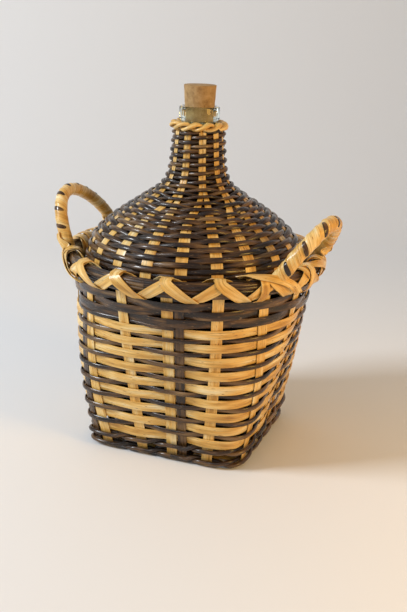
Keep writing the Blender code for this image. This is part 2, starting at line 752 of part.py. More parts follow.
def stake_angle(number, distance):
    # a stake runs straight between the places where it bends
    i = max(k for k in range(len(COVER_STEPS) - 1) if COVER_STEPS[k] <= max(distance, 0.0))
    low, high = station_angle(number, COVER_STEPS[i]), station_angle(number, COVER_STEPS[i + 1])
    share = (distance - COVER_STEPS[i]) / (COVER_STEPS[i + 1] - COVER_STEPS[i])
    return low + (high - low) * share * COVER_POINTS[i + 1].x / cover_at(distance).x


def make_cover_stakes():
    for number in range(COVER_STAKE_COUNT):
        path = []
        sides = []
        for distance in COVER_STEPS:
            point, out, upward = cover_surface(distance, stake_angle(number, distance))
            path.append(point)
            sides.append(upward.cross(out))

        def section(i):
            return flat_section(stake_width(COVER_STEPS[i]), STAKE_THICK)

        sweep("cover_stake_" + str(number + 1), path, sides, section, LIGHT_CANE)


def crossing_half(number, distance, row):
    # half of a stake's width along the row, more where it slants
    slant = stake_angle(number, distance + row / 2) - stake_angle(number, distance - row / 2)
    return stake_width(distance) / 2 + EDGE_MARGIN + abs(slant) / 2 * cover_at(distance).x


def make_cover_weavers():
    lift = STAKE_THICK / 2 + COVER_ROD_THICK / 2 + GAP + WEAVE_SLACK
    row = COVER_ROD_HEIGHT + COVER_ROW_GAP
    climb = 2 * row / COVER_STAKE_COUNT
    count = int((COVER_LENGTH - COVER_SPARE_ROWS * row) / climb)
    # both weavers go over to pairs at the same stake, whose number divides by four
    switch = 4 * int(shoulder_distance(PAIR_WOVEN) / climb / 4)
    for weaver in range(2):
        start = row * (FIRST_ROW + weaver)
        crossings = []
        for number in range(count):
            distance = start + climb * number
            angle = stake_angle(number, distance)
            half = crossing_half(number, distance, row)
            outside = number % 2 == weaver
            if number >= switch:
                outside = (number // 2) % 2 == weaver
                # a pair that has closed up is crossed as one
                even = number - number % 2
                low = start + climb * even
                spread = (stake_angle(even + 1, low) - stake_angle(even, low)) / 2
                reach = cover_at(low).x * sin(spread)
                if reach < crossing_half(even, low, row) + GAP:
                    if number % 2:
                        continue
                    angle += spread
                    half += reach
            crossings.append((distance, angle, half, outside))
        path, sides = weave_path(cover_surface, crossings, lift)
        sweep("cover_weaver_" + str(weaver + 1), path, sides,
              rod_section(COVER_ROD_HEIGHT, COVER_ROD_THICK), DARK_CANE)


def make_collar():
    # two strands twisted into a ring round the top of the neck
    twist = COLLAR_STRAND + GAP
    height = COVER_END + 2 * twist + COVER_ROD_HEIGHT
    radius = BOTTLE_NECK_RADIUS + COLLAR_STRAND + twist + 2 * GAP
    steps = COLLAR_TWISTS * 6
    for strand in range(2):
        path = []
        for i in range(steps):
            angle = 2 * pi * i / steps
            turn = COLLAR_TWISTS * angle + pi * strand
            reach = radius + twist * cos(turn)
            path.append(Vector((reach * sin(angle), -reach * cos(angle), height + twist * sin(turn))))
        sweep("neck_collar_" + str(strand + 1), path, [UP] * steps, round_section(COLLAR_STRAND, 4),
              LIGHT_CANE, closed=True)


# Handles: a bent rod whose flattened feet stand between the hoops, wrapped in cane

HANDLE_STEPS = 14
HANDLE_CURVE_STEPS = 240
WRAP_STEPS = 6
WRAP_LOOK_AHEAD = 0.01
WRAP_RADIUS = (HANDLE_CORE_RADIUS + GAP + WRAP_THICK / 2) / cos(pi / WRAP_STEPS)


def winding_gap(path, width):
    # least clear distance between one turn of a winding and the next
    gap = min((path[k] - path[i]).length for i in range(len(path))
              for k in range(i + WRAP_STEPS // 2 + 1, len(path)))
    return gap - width


def even_points(curve, count):
    # points at equal steps along a finely drawn curve
    reach = [0.0]
    for low, high in zip(curve, curve[1:]):
        reach.append(reach[-1] + (high - low).length)
    points = []
    i = 0
    for k in range(count + 1):
        goal = reach[-1] * k / count
        while i < len(curve) - 2 and reach[i + 1] < goal:
            i += 1
        points.append(curve[i].lerp(curve[i + 1], (goal - reach[i]) / (reach[i + 1] - reach[i])))
    return points


def handle_loop(first, last, top, lean, skew):
    # the loop above the rim: points at equal steps, and the direction through the loop;
    # skew moves its crown toward the last foot
    start_height = RIM_MIDDLE + HOOP_HALF_HEIGHT + HANDLE_FOOT_RISE
    feet = []
    for angle in (first, last):
        foot = basket_surface(start_height, angle)[0]
        feet.append(foot + Vector((sin(angle), -cos(angle), 0.0)) * HANDLE_FLARE)
    middle = (feet[0] + feet[1]) / 2
    along = (feet[1] - feet[0]).normalized()
    level_out = along.cross(UP)
    rise = UP * cos(lean) + level_out * sin(lean)
    through = along.cross(rise).normalized()
    half = (feet[1] - feet[0]).length / 2
    climb = (top - start_height) / cos(lean)
    curve = []
    for i in range(HANDLE_CURVE_STEPS + 1):
        t = pi * i / HANDLE_CURVE_STEPS
        height = climb * sin(t) * (1 - skew * cos(t))
        curve.append(middle - along * half * cos(t) + rise * height)
    return even_points(curve, HANDLE_STEPS), through


def make_handle(side, first, last, top, lean, skew):
    points, through = handle_loop(first, last, top, lean, skew)
    widths = [(HANDLE_CORE_RADIUS, HANDLE_CORE_RADIUS)] * len(points)
    path = list(points)
    sides = [through] * len(points)
    for angle, front in ((first, True), (last, False)):
        for height in (RIM_MIDDLE + HOOP_HALF_HEIGHT, RIM_MIDDLE - HANDLE_FOOT_DEPTH):
            point, out, upward = basket_surface(height, angle)
            size = (SPLINT_THICK / 2, HANDLE_FOOT_HALF_WIDTH)
            if front:
                path.insert(0, point)
                sides.insert(0, out)
                widths.insert(0, size)
            else:
                path.append(point)
                sides.append(out)
                widths.append(size)

    def section(i):
        thin, wide = widths[i]
        return [(thin * cos(pi / 3 * k), wide * sin(pi / 3 * k)) for k in range(6)]

    sweep("handle_core_" + side, path, sides, section, LIGHT_CANE)
    return points, through


def make_wraps(side, points, through):
    # a light band and a dark strip wind the loop side by side
    step = (points[1] - points[0]).length
    heads = [(points[min(i + 1, HANDLE_STEPS)] - points[max(i - 1, 0)]).normalized()
             for i in range(HANDLE_STEPS + 1)]

    def place(length, turn):
        i = min(int(length / step), HANDLE_STEPS - 1)
        share = length / step - i
        ahead = heads[i].lerp(heads[i + 1], share).normalized()
        normal = through * cos(turn) + ahead.cross(through) * sin(turn)
        return points[i].lerp(points[i + 1], share) + normal * WRAP_RADIUS, normal

    margin = WRAP_LIGHT_WIDTH
    loops = (step * HANDLE_STEPS - 2 * margin) / WRAP_PITCH
    for name, width, shift, section, look in (
            ("wrap_", WRAP_LIGHT_WIDTH, 0.0, flat_section, LIGHT_CANE),
            ("strip_", WRAP_DARK_WIDTH, pi, rod_section, DARK_CANE)):
        wound = []
        sides = []
        for i in range(int(loops * WRAP_STEPS) + 1):
            length = margin + WRAP_PITCH * i / WRAP_STEPS
            turn = shift + 2 * pi * i / WRAP_STEPS
            point, normal = place(length, turn)
            ahead = place(length + WRAP_PITCH * WRAP_LOOK_AHEAD, turn + 2 * pi * WRAP_LOOK_AHEAD)[0] - point
            wound.append(point)
            sides.append(normal.cross(ahead).normalized())
        sweep("handle_" + name + side, wound, sides, section(width, WRAP_THICK), look, twisted=True)
        gap = winding_gap(wound, width)
        print("handle_" + name + side, "least gap to itself in mm:", round(gap * 1000, 2))


make_bottle()
make_cork()
make_base_and_uprights()
make_foot_rods()
make_basket_weave()
make_hoops()
make_lashing()
make_cover_stakes()
make_cover_weavers()
make_collar()
for handle_side, handle_feet, handle_rise, handle_lean, handle_skew in (
        ("right", HANDLE_RIGHT_FEET, HANDLE_RISE_RIGHT, HANDLE_LEAN_RIGHT, HANDLE_SKEW_RIGHT),
        ("left", HANDLE_LEFT_FEET, HANDLE_RISE_LEFT, HANDLE_LEAN_LEFT, HANDLE_SKEW_LEFT)):
    loop_points, loop_through = make_handle(handle_side, handle_feet[0], handle_feet[1],
                                            RIM_MIDDLE + handle_rise, handle_lean, handle_skew)
    make_wraps(handle_side, loop_points, loop_through)
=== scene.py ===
# Wicker demijohn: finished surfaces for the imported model, a camera, a floor and lights
from math import cos, pi, radians, sin

import bmesh
import bpy
from mathutils import Matrix, Vector, noise


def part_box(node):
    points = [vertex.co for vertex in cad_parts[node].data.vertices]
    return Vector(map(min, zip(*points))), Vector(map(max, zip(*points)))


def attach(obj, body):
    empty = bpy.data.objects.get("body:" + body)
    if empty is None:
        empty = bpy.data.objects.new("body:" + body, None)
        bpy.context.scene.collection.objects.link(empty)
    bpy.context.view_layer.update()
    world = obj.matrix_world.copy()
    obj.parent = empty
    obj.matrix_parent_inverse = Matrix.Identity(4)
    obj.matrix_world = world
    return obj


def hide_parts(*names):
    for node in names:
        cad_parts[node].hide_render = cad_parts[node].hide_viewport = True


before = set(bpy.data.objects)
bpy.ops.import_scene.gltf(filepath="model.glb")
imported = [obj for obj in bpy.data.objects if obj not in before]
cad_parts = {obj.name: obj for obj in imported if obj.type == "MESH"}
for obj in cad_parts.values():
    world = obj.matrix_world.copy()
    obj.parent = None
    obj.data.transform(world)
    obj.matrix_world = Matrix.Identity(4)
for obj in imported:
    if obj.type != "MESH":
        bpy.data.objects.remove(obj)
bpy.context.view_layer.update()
scene = bpy.context.scene
up = Vector((0.0, 0.0, 1.0))


def addObject(name, data):
    thing = bpy.data.objects.new(name, data)
    scene.collection.objects.link(thing)
    return thing


def addMesh(name, bm, material):
    mesh = bpy.data.meshes.new(name)
    bm.to_mesh(mesh)
    bm.free()
    mesh.shade_smooth()
    mesh.materials.append(material)
    return addObject(name, mesh)


# Camera, as the photograph was taken

cameraView = {"azimuth": 20.0, "pitch": 17.8, "roll": 2.04, "lens": 53.82, "place": (0.012, -1.026, 0.484)}


def makeCamera():
    turn = Matrix.Rotation(radians(cameraView["azimuth"]), 4, "Z")
    tilt = Matrix.Rotation(radians(90.0 - cameraView["pitch"]), 4, "X")
    roll = Matrix.Rotation(radians(cameraView["roll"]), 4, "Z")
    camera = addObject("camera", bpy.data.cameras.new("camera"))
    camera.matrix_world = turn @ Matrix.Translation(cameraView["place"]) @ tilt @ roll
    camera.data.lens = cameraView["lens"]
    scene.camera = camera


makeCamera()
print("camera placed")


# Small helpers. Lengths are in metres and angles in degrees. grain shifts the pattern along a strand
# and seed its sway, so that no two look alike.

strand = {
    "points": 10, "square": 0.45, "outer": 0.62, "inner": 0.38, "tiltRate": 25.0, "merge": 1e-6,
    "seedSpread": (3.17, 1.31)}


def smoothStep(share):
    share = min(max(share, 0.0), 1.0)
    return share * share * (3.0 - 2.0 * share)


def wander(place, seed):
    # slow noise between -1 and 1
    first, second = strand["seedSpread"]
    return noise.noise(Vector((place, seed * first, seed * second)))


def swayAt(sway, place, seed):
    # sway: its size and how fast it changes
    size, rate = sway
    return size * wander(place * rate, seed)


def signedPower(value, power):
    return abs(value) ** power * (1 if value > 0 else -1)


def flatSection(width, thick, square=strand["square"]):
    # a strip with soft edges: (across, out) offsets
    section = []
    for k in range(strand["points"]):
        turn = 2 * pi * (k + 0.5) / strand["points"]
        section.append((width / 2 * signedPower(cos(turn), square),
                        thick / 2 * signedPower(sin(turn), square)))
    return section


def rodSection(height, thick, points=strand["points"]):
    # a split rod: round outside, flatter inside
    section = []
    for k in range(points):
        turn = 2 * pi * k / points
        out = sin(turn) * thick * (strand["outer"] if sin(turn) > 0 else strand["inner"])
        section.append((cos(turn) * height / 2, out))
    return section


def walkLengths(points, start=0.0):
    # how far along a line each of its points lies
    lengths = [start]
    for low, high in zip(points, points[1:]):
        lengths.append(lengths[-1] + (high - low).length)
    return lengths


def addStrand(bm, spots, section, closed=False, tilt=0.0, seed=0.0, grain=0.0, sizes=None):
    # A strand through (point, way out) spots; sizes widen its section at each spot. A grid is rolled
    # into a tube: x runs along the strand and y round its section. The UV map holds real lengths.
    count, sides = len(spots), len(section)
    spans = count if closed else count - 1
    rings = []
    walked = 0.0
    for i, (point, normal) in enumerate(spots):
        ahead = spots[(i + 1) % count if closed else min(i + 1, count - 1)][0]
        behind = spots[i - 1 if closed else max(i - 1, 0)][0]
        along = (ahead - behind).normalized()
        across = normal.cross(along).normalized()
        out = along.cross(across)
        if tilt:
            turn = Matrix.Rotation(tilt * wander(walked * strand["tiltRate"], seed), 3, along)
            out, across = turn @ out, turn @ across
        size = sizes[i] if sizes else 1.0
        rings.append([point + across * (a * size) + out * b for a, b in section])
        walked += (ahead - point).length
    rings.append(rings[0])
    lengths = walkLengths([ring[0] for ring in rings], grain)
    middle = rings[spans // 2]
    girths = walkLengths(middle + middle[:1])
    cane = bm.loops.layers.uv.get("cane") or bm.loops.layers.uv.new("cane")
    made = bmesh.ops.create_grid(bm, x_segments=spans, y_segments=sides, size=1.0)["verts"]
    steps = {}
    for vert in made:
        steps[vert] = (round((vert.co.x + 1) / 2 * spans), round((vert.co.y + 1) / 2 * sides))
    for face in {face for vert in made for face in vert.link_faces}:
        for loop in face.loops:
            i, k = steps[loop.vert]
            loop[cane].uv = (lengths[i], girths[k])
    for vert in made:
        i, k = steps[vert]
        vert.co = rings[i][k % sides]
    bmesh.ops.remove_doubles(bm, verts=made, dist=strand["merge"])


def addPiece(name, bm, look, nodes, body="demijohn", sharp=60.0):
    # look: a material and the slot that it stands for
    material, slot = look
    bmesh.ops.holes_fill(bm, edges=bm.edges, sides=0)
    bmesh.ops.recalc_face_normals(bm, faces=bm.faces)
    piece = addMesh(name, bm, material)
    piece.data.set_sharp_from_angle(angle=radians(sharp))
    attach(piece, body)
    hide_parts(*nodes)


def addCane(name, look, nodes, *run, **values):
    # a piece that is one strand
    bm = bmesh.new()
    addStrand(bm, *run, **values)
    addPiece(name, bm, look, nodes)


# Materials

def newMaterial(name):
    material = bpy.data.materials.new(name)
    material.use_nodes = True
    material.node_tree.nodes.clear()
    return material, material.node_tree


def addNode(tree, kind, sockets, **settings):
    # sockets: the value of each input, or the output that feeds it
    node = tree.nodes.new(kind)
    for name, value in settings.items():
        setattr(node, name, value)
    for name, value in sockets.items():
        if isinstance(value, bpy.types.NodeSocket):
            tree.links.new(value, node.inputs[name])
        else:
            node.inputs[name].default_value = value
    return node


def addRamp(tree, source, stops):
    node = addNode(tree, "ShaderNodeValToRGB", {"Fac": source})
    elements = node.color_ramp.elements
    while len(elements) < len(stops):
        elements.new(1.0)
    for element, (place, colour) in zip(elements, stops):
        element.position = place
        element.color = (*colour, 1.0)
    return node.outputs["Color"]


def addMix(tree, share, first, second, blend="MIX"):
    colours = {0: share, 6: first, 7: second}
    return addNode(tree, "ShaderNodeMix", colours, data_type="RGBA", blend_type=blend).outputs[2]


def addBump(tree, source, look):
    sockets = {"Height": source, "Strength": look["bump"], "Distance": look["depth"]}
    return addNode(tree, "ShaderNodeBump", sockets).outputs["Normal"]


def addSurface(tree, sockets):
    shader = addNode(tree, "ShaderNodeBsdfPrincipled", {"Metallic": 0.0, **sockets})
    addNode(tree, "ShaderNodeOutputMaterial", {"Surface": shader.outputs["BSDF"]})


# scale: cycles per metre along and across a strand; spread: the part of the noise that is used
caneGrain = {
    "Fibre": {"scale": (22.0, 1200.0, 1.0), "detail": 4.0, "spread": (0.32, 0.68)},
    "Patch": {"scale": (19.0, 110.0, 1.0), "detail": 2.0, "spread": (0.3, 0.7)},
    "Scar": {"scale": (120.0, 700.0, 1.0), "detail": 1.0, "spread": (0.66, 0.74)}}
noiseRoughness = 0.6


def makeCaneGroup():
    # fibres, slow patches and short scars along a strand, from its UV map in metres
    group = bpy.data.node_groups.new("caneGrain", "ShaderNodeTree")
    for name in caneGrain:
        group.interface.new_socket(name, in_out="OUTPUT", socket_type="NodeSocketFloat")
    strandMap = addNode(group, "ShaderNodeUVMap", {}, uv_map="cane").outputs["UV"]
    outputs = group.nodes.new("NodeGroupOutput")
    for name, grain in caneGrain.items():
        scaled = addNode(group, "ShaderNodeMapping", {"Vector": strandMap, "Scale": grain["scale"]})
        pattern = addNode(group, "ShaderNodeTexNoise",
                          {"Vector": scaled.outputs["Vector"], "Scale": 1.0, "Detail": grain["detail"],
                           "Roughness": noiseRoughness})
        low, high = grain["spread"]
        spread = addNode(group, "ShaderNodeMapRange",
                         {"Value": pattern.outputs["Fac"], "From Min": low, "From Max": high}, clamp=True)
        group.links.new(spread.outputs["Result"], outputs.inputs[name])
    return group


# patches: colours from shade to light; lines: how dark the fine fibres are
caneSkin = {"lineEnd": 0.55, "coatRoughness": 0.16}
lightLook = {
    "patches": ((0.0, (0.5, 0.24, 0.035)), (0.35, (0.76, 0.43, 0.095)), (0.65, (0.87, 0.57, 0.19)),
        (1.0, (0.95, 0.76, 0.42))), "lines": 0.55, "scar": (0.28, 0.1, 0.02), "roughness": (0.3, 0.46),
    "gloss": 0.45, "coat": 0.25, "bump": 0.45, "depth": 0.0003}
darkLook = {
    "patches": ((0.0, (0.008, 0.004, 0.003)), (0.38, (0.026, 0.012, 0.005)), (0.62, (0.1, 0.046, 0.013)),
        (1.0, (0.26, 0.15, 0.055))), "lines": 0.35, "scar": (0.22, 0.13, 0.06), "roughness": (0.2, 0.46),
    "gloss": 0.25, "coat": 0.55, "bump": 0.7, "depth": 0.0003}
caneGroup = makeCaneGroup()


def makeCaneMaterial(name, look):
    material, tree = newMaterial(name)
    grain = addNode(tree, "ShaderNodeGroup", {}, node_tree=caneGroup).outputs
    body = addRamp(tree, grain["Patch"], look["patches"])
    lines = addRamp(tree, grain["Fibre"], ((0.0, (look["lines"],) * 3), (caneSkin["lineEnd"], (1.0,) * 3)))
    lined = addMix(tree, 1.0, body, lines, "MULTIPLY")
    smooth, rough = look["roughness"]
    roughness = addNode(tree, "ShaderNodeMapRange",
                        {"Value": grain["Fibre"], "To Min": smooth, "To Max": rough})
    addSurface(tree, {"Base Color": addMix(tree, grain["Scar"], lined, (*look["scar"], 1.0)),
                      "Roughness": roughness.outputs["Result"], "Specular IOR Level": look["gloss"],
                      "Coat Weight": look["coat"], "Coat Roughness": caneSkin["coatRoughness"],
                      "Normal": addBump(tree, grain["Fibre"], look)})
    return material


corkLook = {
    "grain": {"Scale": 160.0, "Detail": 6.0, "Roughness": 0.65}, "pitScale": (420.0, 420.0, 90.0),
    "colours": ((0.3, (0.24, 0.13, 0.045)), (0.5, (0.37, 0.22, 0.082)), (0.72, (0.48, 0.31, 0.145))),
    "pits": ((0.05, (0.35,) * 3), (0.16, (1.0,) * 3)), "pitShare": 0.8, "bump": 0.5, "depth": 0.0006,
    "roughness": 0.82}


def makeCorkMaterial():
    material, tree = newMaterial("corkSkin")
    place = addNode(tree, "ShaderNodeTexCoord", {}).outputs["Object"]
    grain = addNode(tree, "ShaderNodeTexNoise", {"Vector": place, **corkLook["grain"]})
    streak = addNode(tree, "ShaderNodeMapping", {"Vector": place, "Scale": corkLook["pitScale"]})
    pits = addNode(tree, "ShaderNodeTexVoronoi", {"Vector": streak.outputs["Vector"], "Scale": 1.0})
    body = addRamp(tree, grain.outputs["Fac"], corkLook["colours"])
    holes = addRamp(tree, pits.outputs["Distance"], corkLook["pits"])
    addSurface(tree, {"Base Color": addMix(tree, corkLook["pitShare"], body, holes, "MULTIPLY"),
                      "Roughness": corkLook["roughness"],
                      "Normal": addBump(tree, holes, corkLook)})
    return material


# the glass is painted dark in the wide body, as painted shade for the inside of the basket and cover; the
# painted shade fades out above the lower of the two heights, and the glass is clear at the mouth, above
# clearFrom
glassLook = {
    "ior": 1.28, "roughness": 0.02, "paintedShadeTo": 0.33, "clearFrom": 0.372,
    "tintAndPaintedShade": ((0.0, (0.03, 0.05, 0.04)), (0.8, (0.6, 0.7, 0.64)), (1.0, (0.88, 0.96, 0.91))),
    "ripple": {"Scale": 60.0, "Detail": 2.0}, "bump": 0.15, "depth": 0.001}


def makeGlassMaterial():
    material, tree = newMaterial("greenGlass")
    place = addNode(tree, "ShaderNodeTexCoord", {}).outputs["Object"]
    level = addNode(tree, "ShaderNodeSeparateXYZ", {"Vector": place})
    # painted shade: the glass colour goes from dark low in the body, where the basket and cover shade it, to
    # clear at the mouth
    height = addNode(tree, "ShaderNodeMapRange",
                     {"Value": level.outputs["Z"], "From Min": glassLook["paintedShadeTo"],
                      "From Max": glassLook["clearFrom"]})
    ripple = addNode(tree, "ShaderNodeTexNoise", {"Vector": place, **glassLook["ripple"]})
    addSurface(tree, {"Base Color": addRamp(tree, height.outputs["Result"], glassLook["tintAndPaintedShade"]),
                      "Roughness": glassLook["roughness"], "IOR": glassLook["ior"],
                      "Transmission Weight": 1.0,
                      "Normal": addBump(tree, ripple.outputs["Fac"], glassLook)})
    return material


lightCane = (makeCaneMaterial("lightCane", lightLook), "light_cane")
darkCane = (makeCaneMaterial("darkCane", darkLook), "dark_cane")
corkSkin = (makeCorkMaterial(), "cork")
greenGlass = (makeGlassMaterial(), "green_glass")
print("materials made")


# Bottle and cork, turned about the upright axis

# base: shares of the standing radius and of the punt's height; outline: (radius, height)
bottle = {
    "foot": 0.003, "punt": 0.014, "standing": 0.0595, "heel": 0.0825, "heelRise": 0.0015,
    "base": ((0.0, 1.0), (0.55, 0.65), (0.9, 0.15), (1.0, 0.0)), "shoulder": 0.208, "outlineSteps": 4,
    "outline": ((0.0825, 0.0132), (0.0938, 0.0522), (0.1059, 0.1055), (0.1157, 0.1588), (0.119, 0.208),
        (0.1171, 0.2237), (0.111, 0.2371), (0.1012, 0.2472), (0.0843, 0.2612), (0.0449, 0.2875),
        (0.036, 0.2954), (0.0299, 0.3043), (0.0252, 0.32), (0.022, 0.357), (0.0208, 0.37)),
    "lipFoot": 0.371, "lip": 0.0225, "lipRound": 0.0016, "lipSteps": 10, "top": 0.3855, "wall": 0.0036,
    "bore": 0.0158, "mouth": 0.0169, "mouthRound": 0.001, "corkDepth": 0.0165, "segments": 96,
    "sharp": 80.0}


def roundedLine(points, steps):
    # a smooth line through the points
    line = []
    for i in range(len(points) - 1):
        before = points[max(i - 1, 0)]
        first, second = points[i], points[i + 1]
        after = points[min(i + 2, len(points) - 1)]
        for k in range(steps):
            t = k / steps
            line.append(((2 * first) + (second - before) * t
                         + (2 * before - 5 * first + 4 * second - after) * t * t
                         + (3 * first - before - 3 * second + after) * t ** 3) / 2)
    line.append(points[-1])
    return line


def parallelLine(points, distance):
    # a parallel of an outline that runs upward, on its outer side
    line = []
    for i, point in enumerate(points):
        run = points[min(i + 1, len(points) - 1)] - points[max(i - 1, 0)]
        line.append(point + Vector((run.y, -run.x)).normalized() * distance)
    return line


def turnProfile(bm, profile, segments):
    # spins an outline of (radius, height) points about the upright axis
    edges = []
    last = bm.verts.new((profile[0].x, 0.0, profile[0].y))
    for point in profile[1:]:
        vert = bm.verts.new((point.x, 0.0, point.y))
        edges.append(bm.edges.new((last, vert)))
        last = vert
    bmesh.ops.spin(bm, geom=edges, cent=(0, 0, 0), axis=(0, 0, 1), angle=2 * pi, steps=segments,
                   use_merge=True)
    bmesh.ops.remove_doubles(bm, verts=bm.verts, dist=strand["merge"])


def makeBottle():
    outer = roundedLine([Vector(p) for p in bottle["outline"]], bottle["outlineSteps"])
    inner = [p for p in parallelLine(outer, -bottle["wall"]) if p.x > bottle["bore"]]
    foot, wall, edge = bottle["foot"], bottle["wall"], bottle["lipRound"]
    base = [Vector((reach * bottle["standing"], foot + rise * bottle["punt"]))
            for reach, rise in bottle["base"]]
    base.append(Vector((0.5 * (bottle["standing"] + bottle["heel"]), foot + bottle["heelRise"])))
    lip = []
    for k in range(bottle["lipSteps"] + 1):
        turn = radians(180 * k / bottle["lipSteps"] - 90)
        height = bottle["top"] - edge if turn > 0 else bottle["lipFoot"] + edge
        lip.append(Vector((bottle["lip"] - edge + edge * cos(turn), height + edge * sin(turn))))
    mouth = [Vector((bottle["mouth"] + bottle["mouthRound"], bottle["top"])),
             Vector((bottle["mouth"], bottle["top"] - bottle["mouthRound"])),
             Vector((bottle["bore"], bottle["top"] - bottle["corkDepth"]))]
    floor = [p + Vector((0.0, wall)) for p in base[-2::-1]]
    bm = bmesh.new()
    turnProfile(bm, base + outer + lip + mouth + inner[::-1] + floor, bottle["segments"])
    addPiece("bottle", bm, greenGlass, ["glass_body", "glass_shoulder", "glass_neck"], sharp=bottle["sharp"])


# chips: scale and depth of the noise on the part that shows; core: the part of the top that stays flat
cork = {
    "topRadius": 0.0182, "bottomRadius": 0.0155, "top": 0.4085, "bottom": 0.369, "chamfer": 0.0007,
    "chamferSteps": 3, "segments": 72, "cuts": 14, "core": 0.004,
    "chips": ((260.0, 0.00025), (90.0, 0.0002)), "shrink": 0.0002, "sharp": 40.0}


def makeCork():
    bm = bmesh.new()
    height = cork["top"] - cork["bottom"]
    bmesh.ops.create_cone(bm, cap_ends=True, segments=cork["segments"], radius1=cork["bottomRadius"],
                          radius2=cork["topRadius"], depth=height)
    bmesh.ops.translate(bm, verts=bm.verts, vec=(0, 0, (cork["top"] + cork["bottom"]) / 2))
    rims = [e for e in bm.edges if any(len(f.verts) > 4 for f in e.link_faces)]
    bmesh.ops.bevel(bm, geom=rims, offset=cork["chamfer"], affect="EDGES", segments=cork["chamferSteps"],
                    profile=0.5, material=-1)
    walls = [e for e in bm.edges if abs(e.verts[0].co.z - e.verts[1].co.z) > height / 2]
    bmesh.ops.subdivide_edges(bm, edges=walls, cuts=cork["cuts"], use_grid_fill=True)
    for vert in bm.verts:
        reach = vert.co.xy.length
        if reach > cork["core"] and vert.co.z > bottle["top"]:
            chip = sum(noise.noise(vert.co * scale) * depth for scale, depth in cork["chips"])
            vert.co.xy *= 1.0 + (chip - cork["shrink"]) / reach
    addPiece("corkStopper", bm, corkSkin, ["cork"], body="stopper", sharp=cork["sharp"])


makeBottle()
makeCork()
print("bottle and cork made")


# Surfaces that the weave follows: a point on the uprights, the way out and the way up

basket = {
    "baseHalf": 0.0895, "rimRadius": 0.1385, "rimMiddle": 0.2145, "squareness": 8.0, "uprights": 16,
    "phase": 9.0, "strip": 0.0125, "darkStrip": 0.0108, "thick": 0.0012, "gap": 0.0006, "weaveStart": 0.021,
    "weaveTop": 0.1725, "startUpright": 8, "pitch": 0.0184, "pitchEase": 0.00018, "taperEnd": 0.0016,
    "probe": 0.002, "spacing": 0.004}


def wallPoint(height, angle):
    share = min(max(height / basket["rimMiddle"], 0.0), 1.0)
    half = basket["baseHalf"] + (basket["rimRadius"] - basket["baseHalf"]) * height / basket["rimMiddle"]
    power = 2.0 + basket["squareness"] * (1.0 - share) ** 2
    radius = half / (abs(cos(angle)) ** power + abs(sin(angle)) ** power) ** (1.0 / power)
    return Vector((radius * sin(angle), -radius * cos(angle), height))


def wallSurface(height, angle):
    step = basket["probe"]
    around = wallPoint(height, angle + step) - wallPoint(height, angle - step)
    upward = (wallPoint(height + step, angle) - wallPoint(height - step, angle)).normalized()
    return wallPoint(height, angle), around.cross(upward).normalized(), upward


# the line of the cover follows the bottle's outline up to lineTop and ends at lineEnd
cover = {
    "standOff": 0.00445, "lineTop": 0.3575, "lineEnd": (0.0216, 0.3615), "lineSteps": 6, "probe": 0.003,
    "stakes": 20, "phase": 14.0, "wide": 0.013, "narrow": 0.0038, "taperStart": 0.035, "taperEnd": 0.13,
    "taperPower": 1.6, "stakeThick": 0.001, "stakeSteps": 40, "stakeGrain": 1.7, "pairStart": 0.268,
    "pairClosed": 0.296, "pairWoven": 0.276, "pairGap": 0.0002, "drift": 7.0,
    "rodHeights": (0.0064, 0.0058, 0.0045), "rodThick": 0.003, "rowPitches": (0.0059, 0.0046, 0.0049),
    "changes": (0.055, 0.095), "changeLength": 0.02, "firstRow": 0.5, "rowsEnd": 0.002, "rowParts": 10,
    "rowSway": (0.0006, 0.9), "spacing": 0.0028, "tilt": 0.25, "uneven": (0.22, 0.09), "rodGrain": 31.0}


def makeCoverLine():
    body = [p for p in bottle["outline"] if bottle["shoulder"] <= p[1] <= cover["lineTop"]]
    body = [Vector(p) for p in body + [cover["lineEnd"]]]
    line = parallelLine(roundedLine(body, cover["lineSteps"]), cover["standOff"])
    return line, walkLengths(line)


coverLine, coverReach = makeCoverLine()
coverLength = coverReach[-1]


def coverAt(distance):
    distance = min(max(distance, 0.0), coverLength - strand["merge"])
    i = max(k for k in range(len(coverReach) - 1) if coverReach[k] <= distance)
    share = (distance - coverReach[i]) / (coverReach[i + 1] - coverReach[i])
    return coverLine[i].lerp(coverLine[i + 1], share)


def coverSurface(distance, angle):
    point = coverAt(distance)
    step = cover["probe"]
    slope = (coverAt(distance + step) - coverAt(distance - step)).normalized()
    around = Vector((sin(angle), -cos(angle), 0.0))
    return (around * point.x + up * point.y, around * slope.y - up * slope.x,
            around * slope.x + up * slope.y)


def distanceAt(height):
    for low, high, start, end in zip(coverLine, coverLine[1:], coverReach, coverReach[1:]):
        if low.y <= height <= high.y:
            return start + (height - low.y) / (high.y - low.y) * (end - start)
    return coverLength


# least: steps between two uprights; flat: share of an upright's half width where the strand runs
# level; move: least share of the run that is left for the change of side
weaveStep = {"least": 3, "flat": 0.5, "move": 0.1}


def weavePath(surface, crossings, lift, spacing):
    # crossings: (row, angle, half width, side) with side 1 outside an upright and -1 inside
    spots = []
    for (rowA, angleA, halfA, sideA), (rowB, angleB, halfB, sideB) in zip(crossings, crossings[1:]):
        run = (surface(rowB, angleB)[0] - surface(rowA, angleA)[0]).length
        steps = max(weaveStep["least"], round(run / spacing))
        flatA, flatB = weaveStep["flat"] * halfA / run, weaveStep["flat"] * halfB / run
        for k in range(steps):
            t = k / steps
            ease = smoothStep((t - flatA) / max(1.0 - flatA - flatB, weaveStep["move"]))
            point, out = surface(rowA + (rowB - rowA) * t, angleA + (angleB - angleA) * t)[:2]
            spots.append((point + out * lift * (sideA + (sideB - sideA) * ease), out))
    return spots


# Woven cover

def stakeWidth(distance):
    share = (distance - cover["taperStart"]) / (cover["taperEnd"] - cover["taperStart"])
    share = min(max(share, 0.0), 1.0) ** cover["taperPower"]
    return cover["wide"] + (cover["narrow"] - cover["wide"]) * share


